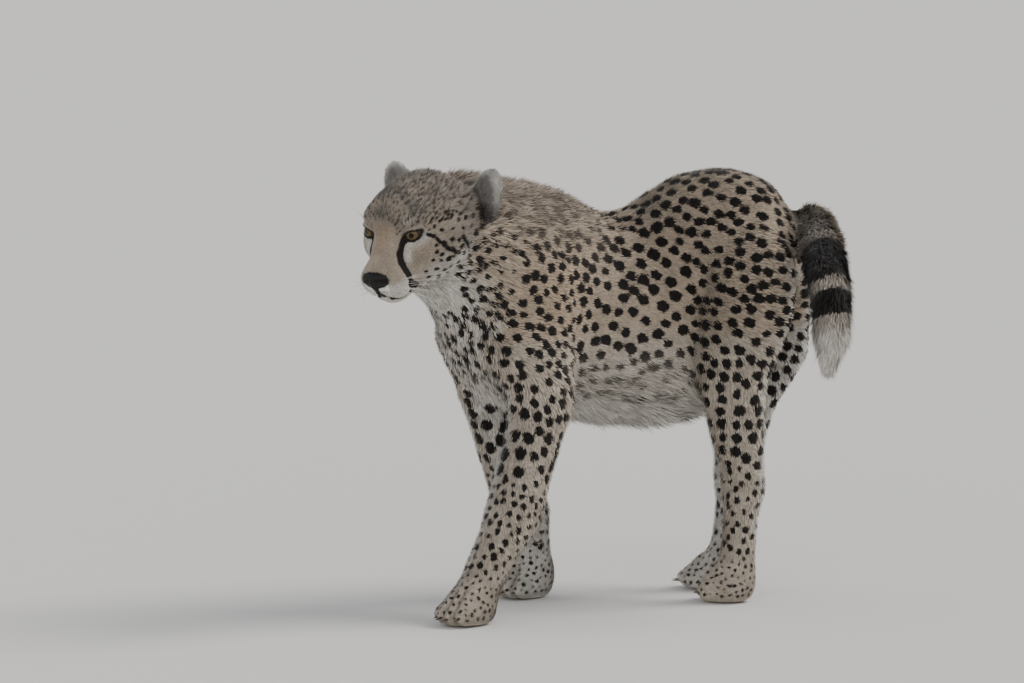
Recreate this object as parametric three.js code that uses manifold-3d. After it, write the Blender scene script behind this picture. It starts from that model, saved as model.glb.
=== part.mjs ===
// A young cheetah, life size, halted in mid-step: the left forefoot is ahead, the head is
// carried low and turned a little to its left, the body curves to the left behind the ribs, and
// the tail swings out to the left and hangs. Millimetres, +Z up, -Y forward and +X to the left
// of the chest. The floor is at Z = 0.
import * as THREE from "three";
import { mergeVertices } from "three/addons/utils/BufferGeometryUtils.js";
import Module from "manifold-3d";

const wasm = await Module();
wasm.setup();

// ---- driving sizes -------------------------------------------------------------------
const gap = 0.4; // between neighbouring pieces
const eyeRadius = 15.5;
const eyeSpacing = 70; // between the middles of the eyes
const eyeTurn = 20; // away from straight ahead
const lids = { width: 29, height: 17, slant: 14 };
const ear = { width: 48, depth: 30, height: 87, wall: 5, lean: 22, swing: 10 };
const toeCount = 4;
const toe = { width: 21, length: 44, height: 32, pitch: 17 };
const claw = { radius: 2.6, length: 15, droop: 12 };
const footSize = { fore: 1, hind: 0.94 };
const bodyBend = { start: 110, length: 230, angle: 55 }; // from this far forward
const sides = { left: 1, right: -1 };

// How finely each surface is drawn.
const spokes = { trunk: 20, head: 24, leg: 14, nose: 12, eye: 12, tail: 10 };

// A place on the animal, from the forward, left and up distances.
const at = (forward, left, up) => new THREE.Vector3(left, -forward, up);
const radians = THREE.MathUtils.degToRad;

// The bend of the body: a place or shape of the straight animal is carried round an arc, and
// behind the arc it goes straight on.
const bendRadius = bodyBend.length / radians(bodyBend.angle);
function bentPlace(place) {
  const along = Math.max(place.y + bodyBend.start, 0);
  if (along === 0) return place.clone();
  const onArc = Math.min(along, bodyBend.length);
  const angle = onArc / bendRadius;
  const way = new THREE.Vector3(Math.sin(angle), Math.cos(angle), 0);
  return new THREE.Vector3(bendRadius * (1 - way.y), bendRadius * way.x - bodyBend.start, place.z)
    .addScaledVector(way, along - onArc)
    .addScaledVector(new THREE.Vector3(way.y, -way.x, 0), place.x);
}

function bent(geometry) {
  const places = geometry.getAttribute("position");
  const place = new THREE.Vector3();
  for (let i = 0; i < places.count; i++) {
    places.setXYZ(i, ...bentPlace(place.fromBufferAttribute(places, i)).toArray());
  }
  return geometry;
}

// Turned nose up by pitch, to its left by yaw, and rolled.
const turned = ({ pitch = 0, yaw = 0, roll = 0 }) =>
  new THREE.Matrix4().makeRotationFromEuler(
    new THREE.Euler(radians(-pitch), radians(roll), radians(yaw), "ZXY"),
  );

// ---- masses: each gives a signed distance, negative inside ----------------------------
function egg(centre, [length, width, height], pose = {}) {
  const back = turned(pose).invert();
  const size = new THREE.Vector3(width, length, height);
  const local = new THREE.Vector3();
  const slope = new THREE.Vector3();
  return (p) => {
    local.copy(p).sub(centre).applyMatrix4(back);
    const near = slope.copy(local).divide(size).length();
    const steep = slope.divide(size).length();
    return steep < 1e-9 ? -Math.min(width, length, height) : (near * (near - 1)) / steep;
  };
}

// A tapering rod with round ends; flat below 1 narrows it from side to side.
function rod(a, b, startRadius, endRadius, flat = 1) {
  const along = b.clone().sub(a);
  const lengthSq = along.lengthSq();
  const local = new THREE.Vector3();
  return (p) => {
    local.copy(p).sub(a);
    const t = THREE.MathUtils.clamp(local.dot(along) / lengthSq, 0, 1);
    local.addScaledVector(along, -t);
    local.x /= flat;
    return (local.length() - THREE.MathUtils.lerp(startRadius, endRadius, t)) * Math.min(flat, 1);
  };
}

// Masses run together, each filleted into the ones before it by this softness.
function flesh(softness, ...masses) {
  return (p) => {
    let d = masses[0](p);
    for (const mass of masses.slice(1)) {
      const next = mass(p);
      const lap = Math.max(softness - Math.abs(d - next), 0) / softness;
      d = Math.min(d, next) - (lap * lap * softness) / 4;
    }
    return d;
  };
}

// ---- surfaces --------------------------------------------------------------------------
const probe = new THREE.Vector3();

// How far a ray from inside a body runs before it leaves it.
function reach(body, from, direction, limit = 320) {
  const stride = 5;
  let inside = 0;
  let outside = limit;
  for (let r = stride; r < limit; r += stride) {
    if (body(probe.copy(from).addScaledVector(direction, r)) > 0) {
      outside = r;
      break;
    }
    inside = r;
  }
  for (let halving = 0; halving < 12; halving++) {
    const middle = (inside + outside) / 2;
    if (body(probe.copy(from).addScaledVector(direction, middle)) > 0) outside = middle;
    else inside = middle;
  }
  return inside;
}

// A closed skin through rings of points, with a point at each end.
function skinOver(rings, startPoint, endPoint) {
  const count = rings[0].length;
  const points = [startPoint, ...rings.flat(), endPoint];
  const last = points.length - 1;
  const faces = [];
  const ringPoint = (ring, spoke) => 1 + ring * count + (spoke % count);
  for (let j = 0; j < count; j++) {
    faces.push(0, ringPoint(0, j + 1), ringPoint(0, j));
    faces.push(last, ringPoint(rings.length - 1, j), ringPoint(rings.length - 1, j + 1));
    for (let i = 0; i < rings.length - 1; i++) {
      faces.push(ringPoint(i, j), ringPoint(i, j + 1), ringPoint(i + 1, j));
      faces.push(ringPoint(i + 1, j), ringPoint(i, j + 1), ringPoint(i + 1, j + 1));
    }
  }
  const geometry = new THREE.BufferGeometry().setFromPoints(points);
  geometry.setIndex(faces);
  return geometry;
}

// The surface of a body, read along an axis. Each station has a centre and two directions,
// across and rise, that turn right-handed about the way the axis runs. A flat end is a plane.
function sleeve(body, stations, count, { flatStart = true, flatEnd = true, grow = 0 } = {}) {
  const rings = stations.map(({ centre, across, rise }) =>
    Array.from({ length: count }, (_, j) => {
      const angle = (j / count) * 2 * Math.PI;
      const direction = across.clone().multiplyScalar(Math.cos(angle));
      direction.addScaledVector(rise, Math.sin(angle));
      return centre.clone().addScaledVector(direction, reach(body, centre, direction) + grow);
    }),
  );
  const tip = ({ centre, across, rise }, way) => {
    const outward = across.clone().cross(rise).multiplyScalar(way);
    return centre.clone().addScaledVector(outward, reach(body, centre, outward) + grow);
  };
  const first = stations[0];
  const end = stations[stations.length - 1];
  return skinOver(
    rings,
    flatStart ? first.centre : tip(first, -1),
    flatEnd ? end.centre : tip(end, 1),
  );
}

// Stations along a curve that runs forward, upright across its way.
function stationsOn(curve, shares) {
  return shares.map((share) => {
    const way = curve.getTangentAt(share);
    const left = new THREE.Vector3(0, 0, 1).cross(way).normalize();
    return { centre: curve.getPointAt(share), across: left, rise: way.clone().cross(left) };
  });
}

// A round tube along a curve, its radius given by the share of the way.
function tube(curve, shares, radiusAt, count, endBulge) {
  const rings = shares.map((share) => {
    const way = curve.getTangentAt(share);
    const across = new THREE.Vector3(0, 1, 0).projectOnPlane(way).normalize();
    const rise = way.clone().cross(across);
    return Array.from({ length: count }, (_, j) => {
      const angle = (j / count) * 2 * Math.PI;
      return curve
        .getPointAt(share)
        .addScaledVector(across, radiusAt(share) * Math.cos(angle))
        .addScaledVector(rise, radiusAt(share) * Math.sin(angle));
    });
  });
  const lastShare = shares[shares.length - 1];
  const end = curve.getPointAt(lastShare).addScaledVector(curve.getTangentAt(lastShare), endBulge);
  return skinOver(rings, curve.getPointAt(shares[0]), end);
}

const spread = (from, to, count) =>
  Array.from({ length: count }, (_, i) => from + ((to - from) * i) / (count - 1));

// Shares from one end to another that crowd towards both.
const crowded = (from, to, count) =>
  spread(0, Math.PI, count).map((angle) => from + ((to - from) * (1 - Math.cos(angle))) / 2);

// ---- joining and cutting ---------------------------------------------------------------
function solidOf(geometry) {
  const bare = geometry.clone();
  bare.deleteAttribute("normal");
  bare.deleteAttribute("uv");
  const merged = mergeVertices(bare, 1e-3);
  return new wasm.Manifold(
    new wasm.Mesh({
      numProp: 3,
      vertProperties: merged.getAttribute("position").array,
      triVerts: new Uint32Array(merged.index.array),
    }),
  );
}

function geometryOf(solid) {
  const mesh = solid.getMesh();
  const geometry = new THREE.BufferGeometry();
  geometry.setAttribute("position", new THREE.BufferAttribute(new Float32Array(mesh.vertProperties), 3));
  geometry.setIndex(new THREE.BufferAttribute(new Uint32Array(mesh.triVerts), 1));
  return geometry;
}

// The biggest piece of a cut solid.
const largest = (solid) => solid.decompose().sort((a, b) => b.volume() - a.volume())[0];

// ---- materials -------------------------------------------------------------------------
const finish = (name, color, roughness) =>
  new THREE.MeshStandardMaterial({ name, color, roughness, metalness: 0 });
const materials = {
  coat: finish("coat", 0xb99a74, 0.85),
  earCoat: finish("earCoat", 0x8f8578, 0.85),
  eye: finish("eye", 0x8a5a22, 0.15),
  nose: finish("nose", 0x1b1614, 0.45),
  claw: finish("claw", 0x3a2f28, 0.4),
};

const cheetah = new THREE.Group();
cheetah.name = "cheetah";
function place(name, geometry, material) {
  const mesh = new THREE.Mesh(geometry, material);
  mesh.name = name;
  cheetah.add(mesh);
}

// ---- trunk -----------------------------------------------------------------------------
const trunkBody = flesh(
  60,
  egg(at(95, 0, 410), [190, 80, 152]), // ribs
  egg(at(-38, 0, 401), [160, 80, 157]), // belly
  egg(at(-138, 0, 527), [108, 80, 102], { pitch: 4 }), // hips
  egg(at(-80, 0, 528), [76, 52, 86], { pitch: -14 }), // loin
  egg(at(258, 4, 410), [80, 74, 100]), // breast
  egg(at(190, 0, 552), [105, 46, 62]), // withers
  rod(at(225, 0, 490), at(335, 12, 538), 99, 89, 0.78), // root of the neck
  rod(at(300, 8, 536), at(392, 24, 566), 82, 74, 0.9), // neck
);

const spine = new THREE.CatmullRomCurve3([
  at(-228, 0, 520),
  at(-140, 0, 498),
  at(-30, 0, 440),
  at(90, 0, 428),
  at(220, 0, 470),
  at(320, 8, 525),
  at(405, 26, 566),
]);
const partingShare = gap / spine.getLength();

const trunkShares = {
  rump: crowded(0, 0.32, 9),
  belly: spread(0.32 + partingShare, 0.54, 6),
  chest: spread(0.54 + partingShare, 0.8, 8),
  neck: spread(0.8 + partingShare, 0.99, 6),
};
const trunkSleeve = (shares, ends) =>
  bent(sleeve(trunkBody, stationsOn(spine, shares), spokes.trunk, ends));
place("rump", trunkSleeve(trunkShares.rump, { flatStart: false }), materials.coat);
place("belly", trunkSleeve(trunkShares.belly), materials.coat);
place("chest", trunkSleeve(trunkShares.chest), materials.coat);
let neck = solidOf(trunkSleeve(trunkShares.neck));
const grownTrunk = solidOf(
  trunkSleeve(Object.values(trunkShares).flat(), { flatStart: false, grow: gap }),
);

// ---- head, in its own level frame and then turned ----------------------------------------
const headCentre = at(437, 33, 571);
const headTurn = new THREE.Matrix4()
  .makeTranslation(headCentre.x, headCentre.y, headCentre.z)
  .multiply(turned({ pitch: -15, yaw: 11 }));

// A mass on each side of the head.
const pair = (forward, left, up, radii) => [
  egg(at(forward, left, up), radii),
  egg(at(forward, -left, up), radii),
];

const headBody = flesh(
  18,
  egg(at(-22, 0, 20), [80, 62, 53]), // brain case
  egg(at(26, 0, 32), [39, 44, 32]), // forehead
  ...pair(-10, 50, -18, [52, 28, 44]), // cheeks
  ...pair(38, 33, 28, [19, 18, 11]), // brows
  ...pair(34, 37, -13, [30, 18, 22]), // cheekbones
  ...pair(-66, 52, 4, [32, 26, 38]), // roots of the ears
  rod(at(34, 0, 10), at(84, 0, -32), 27, 18), // bridge of the nose
  egg(at(66, 0, -46), [37, 34, 27]), // muzzle
  ...pair(82, 17, -53, [24, 20, 19]), // lips
  egg(at(62, 0, -72), [36, 23, 15]), // chin
  egg(at(0, 0, -48), [66, 52, 34]), // throat
);
const headAxis = new THREE.CatmullRomCurve3([at(-76, 0, 6), at(-20, 0, 0), at(44, 0, -22), at(95, 0, -50)]);
const headStations = stationsOn(headAxis, crowded(0, 1, 18));
const roundEnds = { flatStart: false, flatEnd: false };
const headSleeve = (grow) =>
  sleeve(headBody, headStations, spokes.head, { ...roundEnds, grow }).applyMatrix4(headTurn);
const grownHead = solidOf(headSleeve(gap));

const noseBody = flesh(
  6,
  egg(at(98, 0, -40), [15, 22, 9]), // pad
  ...pair(95, 16, -43, [13, 9, 9]), // wings
  egg(at(100, 0, -51), [9, 7, 10]), // foot of the pad
);
const noseAxis = new THREE.CatmullRomCurve3([at(88, 0, -44), at(108, 0, -46)]);
const noseStations = stationsOn(noseAxis, spread(0, 1, 5));
const noseSleeve = (grow) =>
  sleeve(noseBody, noseStations, spokes.nose, { ...roundEnds, grow }).applyMatrix4(headTurn);
place("nose", noseSleeve(0), materials.nose);

let head = solidOf(headSleeve(0)).subtract(solidOf(noseSleeve(gap)));

// Each eye looks ahead and a little aside, through an opening between the lids.
for (const [side, sign] of Object.entries(sides)) {
  const inSocket = (geometry) =>
    geometry
      .rotateZ(radians(sign * eyeTurn))
      .translate(...at(41, (sign * eyeSpacing) / 2, 10).toArray())
      .applyMatrix4(headTurn);
  const ball = (radius) =>
    inSocket(new THREE.SphereGeometry(radius, spokes.eye, spokes.eye - 4).rotateX(Math.PI / 2));
  const opening = new THREE.SphereGeometry(0.5, 12, 6)
    .rotateX(Math.PI / 2)
    .scale(lids.width, 30, lids.height)
    .rotateY(radians(-sign * lids.slant))
    .translate(0, -15, 0);
  place(`eye_${side}`, ball(eyeRadius), materials.eye);
  head = head.subtract(solidOf(ball(eyeRadius + gap))).subtract(solidOf(inSocket(opening)));
}
place("head", geometryOf(largest(head)), materials.coat);

// An ear is a cupped leaf: a flattened egg with another scooped out of the side it faces.
for (const [side, sign] of Object.entries(sides)) {
  const leaf = (width, depth, height, segments) =>
    new THREE.SphereGeometry(0.5, segments, segments - 4).scale(width, depth, height);
  const onHead = (geometry) =>
    geometry
      .rotateZ(radians(-sign * ear.swing))
      .rotateX(radians(-8))
      .rotateY(radians(sign * ear.lean))
      .translate(...at(-81, sign * 75, 20).toArray())
      .applyMatrix4(headTurn);
  const outer = (grow) =>
    solidOf(onHead(leaf(ear.width + 2 * grow, ear.depth + 2 * grow, ear.height + 2 * grow, 12)));
  const scoop = leaf(ear.width - 2 * ear.wall, ear.depth - ear.wall, ear.height - 3 * ear.wall, 10);
  const shell = outer(0).subtract(solidOf(onHead(scoop.translate(0, 2 * ear.wall, ear.wall))));
  place(`ear_${side}`, geometryOf(largest(shell.subtract(grownHead))), materials.earCoat);
  neck = neck.subtract(outer(gap));
}
place("neck", geometryOf(largest(neck.subtract(grownHead))), materials.coat);

// ---- legs: where each joint is, forward, to the side and up ------------------------------
const stance = {
  fore_left: {
    blade: at(208, 60, 478),
    shoulder: at(286, 58, 400),
    triceps: at(226, 64, 392),
    elbow: at(226, 76, 318),
    bend: at(281, 74, 158),
    knuckle: at(342, 70, 62),
    paw: at(368, 70, 20),
  },
  fore_right: {
    blade: at(192, -60, 478),
    shoulder: at(272, -58, 400),
    triceps: at(206, -64, 392),
    elbow: at(200, -74, 318),
    bend: at(138, -70, 128),
    knuckle: at(120, -68, 50),
    paw: at(134, -68, 20),
  },
  hind_left: {
    thigh: at(-177, 56, 459),
    ham: at(-208, 58, 384),
    stifle: at(-136, 68, 358),
    bend: at(-172, 56, 170),
    knuckle: at(-164, 58, 50),
    paw: at(-147, 58, 20),
  },
  hind_right: {
    thigh: at(-180, -56, 459),
    ham: at(-229, -58, 346),
    stifle: at(-118, -68, 346),
    bend: at(-140, -58, 166),
    knuckle: at(-130, -58, 50),
    paw: at(-112, -58, 20),
  },
};

const foreBody = ({ blade, shoulder, triceps, elbow, bend, knuckle, paw }) =>
  flesh(
    26,
    egg(blade, [54, 34, 92], { pitch: -16 }),
    egg(triceps, [62, 36, 84]),
    rod(shoulder, elbow, 50, 42, 0.8), // upper arm
    rod(elbow, bend, 47, 39), // forearm
    rod(bend, knuckle, 37, 31), // instep
    egg(paw, [46, 37, 30]),
  );
const hindBody = ({ thigh, ham, stifle, bend, knuckle, paw }) =>
  flesh(
    26,
    egg(thigh, [72, 46, 118], { pitch: 12 }),
    rod(thigh, ham, 60, 34, 0.7), // hamstrings
    rod(thigh, stifle, 66, 48, 0.66), // front of the thigh
    rod(stifle, bend, 46, 26, 0.85), // shank
    rod(stifle.clone().lerp(ham, 0.7), bend.clone().add(at(-12, 0, 6)), 30, 15), // calf and heel
    rod(bend, knuckle, 28, 27), // instep
    egg(paw, [44, 35, 28]),
  );

const legHeights = [0, 10, 24, 42, 66, 96, 130, 164, 200, 238, 276, 314, 352, 396, 440, 484, 524];

// Level stations that follow a line through some joints, the lowest first.
function levelStations(joints, heights) {
  const line = (height) => {
    const next = joints.findIndex((joint) => joint.z >= height);
    if (next === 0) return joints[0];
    if (next < 0) return joints[joints.length - 1];
    const [low, high] = [joints[next - 1], joints[next]];
    return low.clone().lerp(high, (height - low.z) / (high.z - low.z));
  };
  return heights.map((height) => ({
    centre: line(height).clone().setZ(height),
    across: new THREE.Vector3(1, 0, 0),
    rise: new THREE.Vector3(0, 1, 0),
  }));
}

// The toes of a paw fan out ahead of it, the middle pair a little further than the others.
const toesOf = (paw, size) =>
  spread(-(toeCount - 1) / 2, (toeCount - 1) / 2, toeCount).map((rank) => {
    const aside = rank * toe.pitch * size;
    const lead = (Math.abs(rank) > 1 ? 20 : 30) * size;
    return { centre: paw.clone().add(at(lead, aside, -3)), yaw: -aside * 0.35 };
  });

const toeGeometry = ({ centre, yaw }, size) =>
  new THREE.SphereGeometry(0.5 * size, 8, 5)
    .scale(toe.width, toe.length, toe.height)
    .rotateZ(radians(yaw))
    .translate(...centre.toArray());

const clawGeometry = ({ centre, yaw }, size, grow) =>
  new THREE.ConeGeometry(claw.radius * size + grow, claw.length * size + 2 * grow, 8)
    .translate(0, 20 * size, 0)
    .rotateX(Math.PI)
    .rotateX(radians(claw.droop))
    .rotateZ(radians(yaw))
    .translate(...centre.toArray());

const aboveFloor = solidOf(new THREE.BoxGeometry(2000, 2000, 2000).translate(0, 0, 1000));
for (const [name, joints] of Object.entries(stance)) {
  const isFore = name.startsWith("fore");
  const size = isFore ? footSize.fore : footSize.hind;
  const { paw, knuckle, bend, elbow, triceps, blade, stifle, ham, thigh } = joints;
  const upper = isFore ? [elbow, triceps, blade] : [stifle.clone().lerp(ham, 0.45), thigh];
  const curved = isFore ? (geometry) => geometry : bent;
  const stations = levelStations([paw, knuckle, bend, ...upper], legHeights);
  const body = isFore ? foreBody(joints) : hindBody(joints);
  let leg = solidOf(curved(sleeve(body, stations, spokes.leg, { flatEnd: false })));
  const toes = toesOf(paw, size);
  for (const one of toes) leg = leg.add(solidOf(curved(toeGeometry(one, size))));
  leg = leg.intersect(aboveFloor).subtract(grownTrunk);
  const claws = toes.map((one, i) => [`claw_${name}_${i + 1}`, one]);
  if (isFore) {
    const inner = at(-8, paw.x > 0 ? -37 : 37, -4);
    claws.push([`dewclaw_${name}`, { centre: bend.clone().lerp(knuckle, 0.45).add(inner), yaw: 0 }]);
  }
  for (const [clawName, one] of claws) {
    leg = leg.subtract(solidOf(curved(clawGeometry(one, size, gap))));
    place(clawName, curved(clawGeometry(one, size, 0)), materials.claw);
  }
  place(`leg_${name}`, geometryOf(largest(leg)), materials.coat);
}

// ---- tail: swung out to the left and hanging ----------------------------------------------
const tailLine = new THREE.CatmullRomCurve3([
  bentPlace(at(-206, 0, 530)),
  at(-160, 196, 540),
  at(-160, 226, 544),
  at(-140, 258, 536),
  at(-110, 300, 512),
  at(-84, 338, 482),
  at(-72, 358, 445),
  at(-66, 364, 405),
  at(-62, 362, 362),
]);
const tailRadius = (share) => 23 + 9 * Math.sin(Math.PI * share) - 90 * Math.max(0, share - 0.86);
const tailParting = gap / tailLine.getLength();
const tailRoot = solidOf(tube(tailLine, spread(0, 0.34, 7), tailRadius, spokes.tail, 0));
place("tail_root", geometryOf(largest(tailRoot.subtract(grownTrunk))), materials.coat);
const tailMiddle = tube(tailLine, spread(0.34 + tailParting, 0.68, 7), tailRadius, spokes.tail, 0);
place("tail_middle", tailMiddle, materials.coat);
const tailTip = tube(tailLine, spread(0.68 + tailParting, 1, 7), tailRadius, spokes.tail, 8);
place("tail_tip", tailTip, materials.coat);

// The floor under the middle of the whole animal is the origin.
const whole = new THREE.Box3().setFromObject(cheetah);
const middle = whole.getCenter(new THREE.Vector3()).setZ(whole.min.z);
for (const mesh of cheetah.children) mesh.geometry.translate(-middle.x, -middle.y, -middle.z);

export default cheetah;
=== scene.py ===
import heapq
import math

import bmesh
import bpy
import numpy as np
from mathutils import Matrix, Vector
from mathutils.bvhtree import BVHTree
from mathutils.kdtree import KDTree


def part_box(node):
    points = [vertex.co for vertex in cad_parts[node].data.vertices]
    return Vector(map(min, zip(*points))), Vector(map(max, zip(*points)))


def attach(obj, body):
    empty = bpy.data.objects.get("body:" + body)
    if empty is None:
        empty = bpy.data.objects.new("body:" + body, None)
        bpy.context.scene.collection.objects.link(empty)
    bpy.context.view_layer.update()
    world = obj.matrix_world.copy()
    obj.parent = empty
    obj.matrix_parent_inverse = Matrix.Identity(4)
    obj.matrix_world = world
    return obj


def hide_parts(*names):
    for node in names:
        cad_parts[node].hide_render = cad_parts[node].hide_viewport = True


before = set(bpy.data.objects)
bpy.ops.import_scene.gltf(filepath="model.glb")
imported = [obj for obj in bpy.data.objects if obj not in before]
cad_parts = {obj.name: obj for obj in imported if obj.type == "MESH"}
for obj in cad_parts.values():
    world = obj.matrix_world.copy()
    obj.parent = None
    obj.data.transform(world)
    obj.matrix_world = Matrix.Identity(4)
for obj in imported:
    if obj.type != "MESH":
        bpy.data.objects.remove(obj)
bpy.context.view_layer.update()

scene = bpy.context.scene
mm = 0.001

view = {
    "lookAt": (-0.0884, -0.1075, 0.395),
    "azimuth": 48.0,
    "elevation": 7.0,
    "distance": 12.0,
    "lens": 295.3,
}


def makeCamera():
    azimuth, elevation = math.radians(view["azimuth"]), math.radians(view["elevation"])
    back = Vector((math.sin(azimuth) * math.cos(elevation),
                   -math.cos(azimuth) * math.cos(elevation),
                   math.sin(elevation)))
    camera = bpy.data.objects.new("camera", bpy.data.cameras.new("camera"))
    camera.data.lens = view["lens"]
    camera.data.sensor_width = 36.0
    camera.location = Vector(view["lookAt"]) + back * view["distance"]
    camera.rotation_mode = "QUATERNION"
    camera.rotation_quaternion = (-back).to_track_quat("-Z", "Y")
    camera.data.clip_end = 200.0
    scene.collection.objects.link(camera)
    scene.camera = camera


makeCamera()
print("camera set")


def linkObject(name, mesh):
    thing = bpy.data.objects.new(name, mesh)
    scene.collection.objects.link(thing)
    return thing


def meshFrom(name, points, faces):
    mesh = bpy.data.meshes.new(name)
    mesh.from_pydata([tuple(p) for p in points], [], faces)
    mesh.update()
    return mesh


def pointsOf(mesh):
    flat = np.empty(len(mesh.vertices) * 3)
    mesh.vertices.foreach_get("co", flat)
    return flat.reshape(-1, 3)


def movePoints(mesh, points):
    mesh.vertices.foreach_set("co", points.ravel())
    mesh.update()


def normalsOf(mesh):
    flat = np.empty(len(mesh.vertices) * 3)
    mesh.vertex_normals.foreach_get("vector", flat)
    return flat.reshape(-1, 3)


def treeOf(mesh):
    return BVHTree.FromPolygons([v.co for v in mesh.vertices], [tuple(p.vertices) for p in mesh.polygons])


def edgesOf(mesh):
    flat = np.empty(len(mesh.edges) * 2, dtype=np.int64)
    mesh.edges.foreach_get("vertices", flat)
    return flat.reshape(-1, 2)


def placeTree(places):
    tree = KDTree(len(places))
    for index, place in enumerate(places):
        tree.insert(place, index)
    tree.balance()
    return tree


def mergedCopy(node):
    # A node's faces are loose triangles, so a copy of them is merged.
    work = bmesh.new()
    work.from_mesh(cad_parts[node].data)
    bmesh.ops.remove_doubles(work, verts=work.verts, dist=1e-5)
    return work


def facedOutward(mesh):
    work = bmesh.new()
    work.from_mesh(mesh)
    bmesh.ops.recalc_face_normals(work, faces=work.faces)
    work.to_mesh(mesh)
    work.free()


def putAttribute(mesh, name, values, kind="FLOAT"):
    if name in mesh.attributes:
        mesh.attributes.remove(mesh.attributes[name])
    attribute = mesh.attributes.new(name, kind, "POINT")
    key = "vector" if kind == "FLOAT_VECTOR" else "value"
    attribute.data.foreach_set(key, np.asarray(values, dtype=np.float32).ravel())


def neighbourMean(values, edges, valence):
    total = np.empty_like(values)
    for column in range(values.shape[1]):
        here = values[:, column]
        total[:, column] = (
            np.bincount(edges[:, 0], here[edges[:, 1]], len(here))
            + np.bincount(edges[:, 1], here[edges[:, 0]], len(here)))
    return total / valence[:, None]


def spreadOut(values, edges, rounds, share=0.5, weight=None):
    # Evens values out over the surface, round by round.
    flat = values.ndim == 1
    values = values[:, None].copy() if flat else values.copy()
    valence = np.maximum(np.bincount(edges.ravel(), minlength=len(values)), 1)
    step = share if weight is None else (share * weight)[:, None]
    for _ in range(rounds):
        values += step * (neighbourMean(values, edges, valence) - values)
    return values[:, 0] if flat else values


def waves(seed, rounds, edges, count):
    # Soft waves over the surface, for locks of hair that lean together.
    noise = np.random.default_rng(seed).normal(size=(count, 3))
    noise = spreadOut(noise, edges, rounds)
    return noise / noise.std()


def ramp(value, low, high):
    t = np.clip((value - low) / (high - low), 0.0, 1.0)
    return t * t * (3 - 2 * t)


def bell(away, reach):
    return np.exp(-(away / reach) ** 2)


def unit(vectors):
    return vectors / np.maximum(np.linalg.norm(vectors, axis=-1, keepdims=True), 1e-9)


def flattened(vectors, normals):
    # The share of each vector that runs along the surface.
    return unit(vectors - (vectors * normals).sum(1)[:, None] * normals)


def lineDistance(points, line):
    # Distance to a bent line, and how far along it the nearest place is.
    best = np.full(len(points), 1e9)
    along = np.zeros(len(points))
    done = 0.0
    for start, end in zip(line[:-1], line[1:]):
        run = end - start
        length = np.linalg.norm(run)
        t = np.clip((points - start) @ run / length ** 2, 0, 1)
        away = np.linalg.norm(points - start - t[:, None] * run, axis=1)
        nearer = away < best
        along = np.where(nearer, done + t * length, along)
        best = np.where(nearer, away, best)
        done += length
    return best, along


def middle(node):
    low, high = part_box(node)
    return np.array((Vector(low) + Vector(high)) / 2)


# The head's own axes: forward, left and up, in millimetres from its middle.
headPose = {"noseDown": 15.0, "eyeForward": 41.0, "eyeUp": 10.0}


def headAxes():
    eyeLeft, eyeRight = middle("eye_left"), middle("eye_right")
    left = unit(eyeLeft - eyeRight)
    level = unit(np.cross(left, (0, 0, 1)))
    drop = math.radians(headPose["noseDown"])
    forward = math.cos(drop) * level - math.sin(drop) * np.array((0, 0, 1))
    up = np.cross(forward, left)
    start = (eyeLeft + eyeRight) / 2 - (headPose["eyeForward"] * forward + headPose["eyeUp"] * up) * mm
    return start, np.array((forward, left, up))


headStart, headTurn = headAxes()


def inHead(points):
    return (points - headStart) @ headTurn.T / mm


def fromHead(places):
    return np.asarray(places) * mm @ headTurn + headStart


# The body's own axes: it bends to its left behind the ribs.
bodyPlan = {
    "headForward": 0.437,   # the head's middle, from the body's start
    "headLeft": 0.033,
    "bendStart": 0.110,
    "bendLength": 0.230,
    "bendAngle": 55.0,
}


def bodyAxes(places):
    # How far forward and left each place would be in a straight body, and which way is back.
    plan = bodyPlan
    angle = math.radians(plan["bendAngle"])
    radius = plan["bendLength"] / angle
    left = places[:, 0] - headStart[0] + plan["headLeft"]
    back = places[:, 1] - headStart[1] - plan["headForward"] + plan["bendStart"]
    turn = np.clip(np.arctan2(back, radius - left), 0, angle)
    centreLeft, centreBack = left - radius, back
    straightLeft = radius + centreLeft * np.cos(turn) - centreBack * np.sin(turn)
    straightBack = centreLeft * np.sin(turn) + centreBack * np.cos(turn) + radius * turn
    backward = np.stack((np.sin(turn), np.cos(turn), 0 * turn), axis=1)
    leftward = np.stack((np.cos(turn), -np.sin(turn), 0 * turn), axis=1)
    return plan["bendStart"] - straightBack, straightLeft, backward, leftward


skinPlan = {
    "voxel": 0.005,
    "overlap": 0.0005,
    "earVoxel": 0.0016,
    # half the face size: part of the head, in its own millimetres, and the paws, in metres
    "fine": {"behind": -60, "aside": 90, "above": 120, "below": -95, "paws": 0.055},
    # how far facets are worn away: all on the trunk, less where the body is slender
    "wear": {"trunk": 1.0, "tail": 0.25, "head": 0.35, "shank": 0.14, "haunch": 0.6, "paw": 0.06},
    "wearRounds": 60,
    # depth of the coat in millimetres
    "coatHead": {"muzzle": 1.2, "cheek": 4.0, "crown": 6.0},
    "coatNeck": {"nape": 20.0, "side": 10.0, "throat": 11.0},
    "coatTrunk": {"withers": 17.0, "back": 8.0, "side": 8.0, "belly": 17.0, "breast": 9.0},
    "coatLeg": {"top": 7.0, "shank": 4.5, "foot": 2.2},
    "coatTail": {"start": 8.0, "middle": 14.0, "tipFrom": 0.09},
    "coatEar": 1.0,
}
trunkNodes = ["rump", "belly", "chest"]
legNodes = ["leg_fore_left", "leg_fore_right", "leg_hind_left", "leg_hind_right"]
tailNodes = ["tail_root", "tail_middle", "tail_tip"]
bodyNodes = trunkNodes + ["neck", "head"] + legNodes + tailNodes
earNodes = ["ear_left", "ear_right"]
clawNodes = sorted(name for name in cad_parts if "claw" in name)


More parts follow.
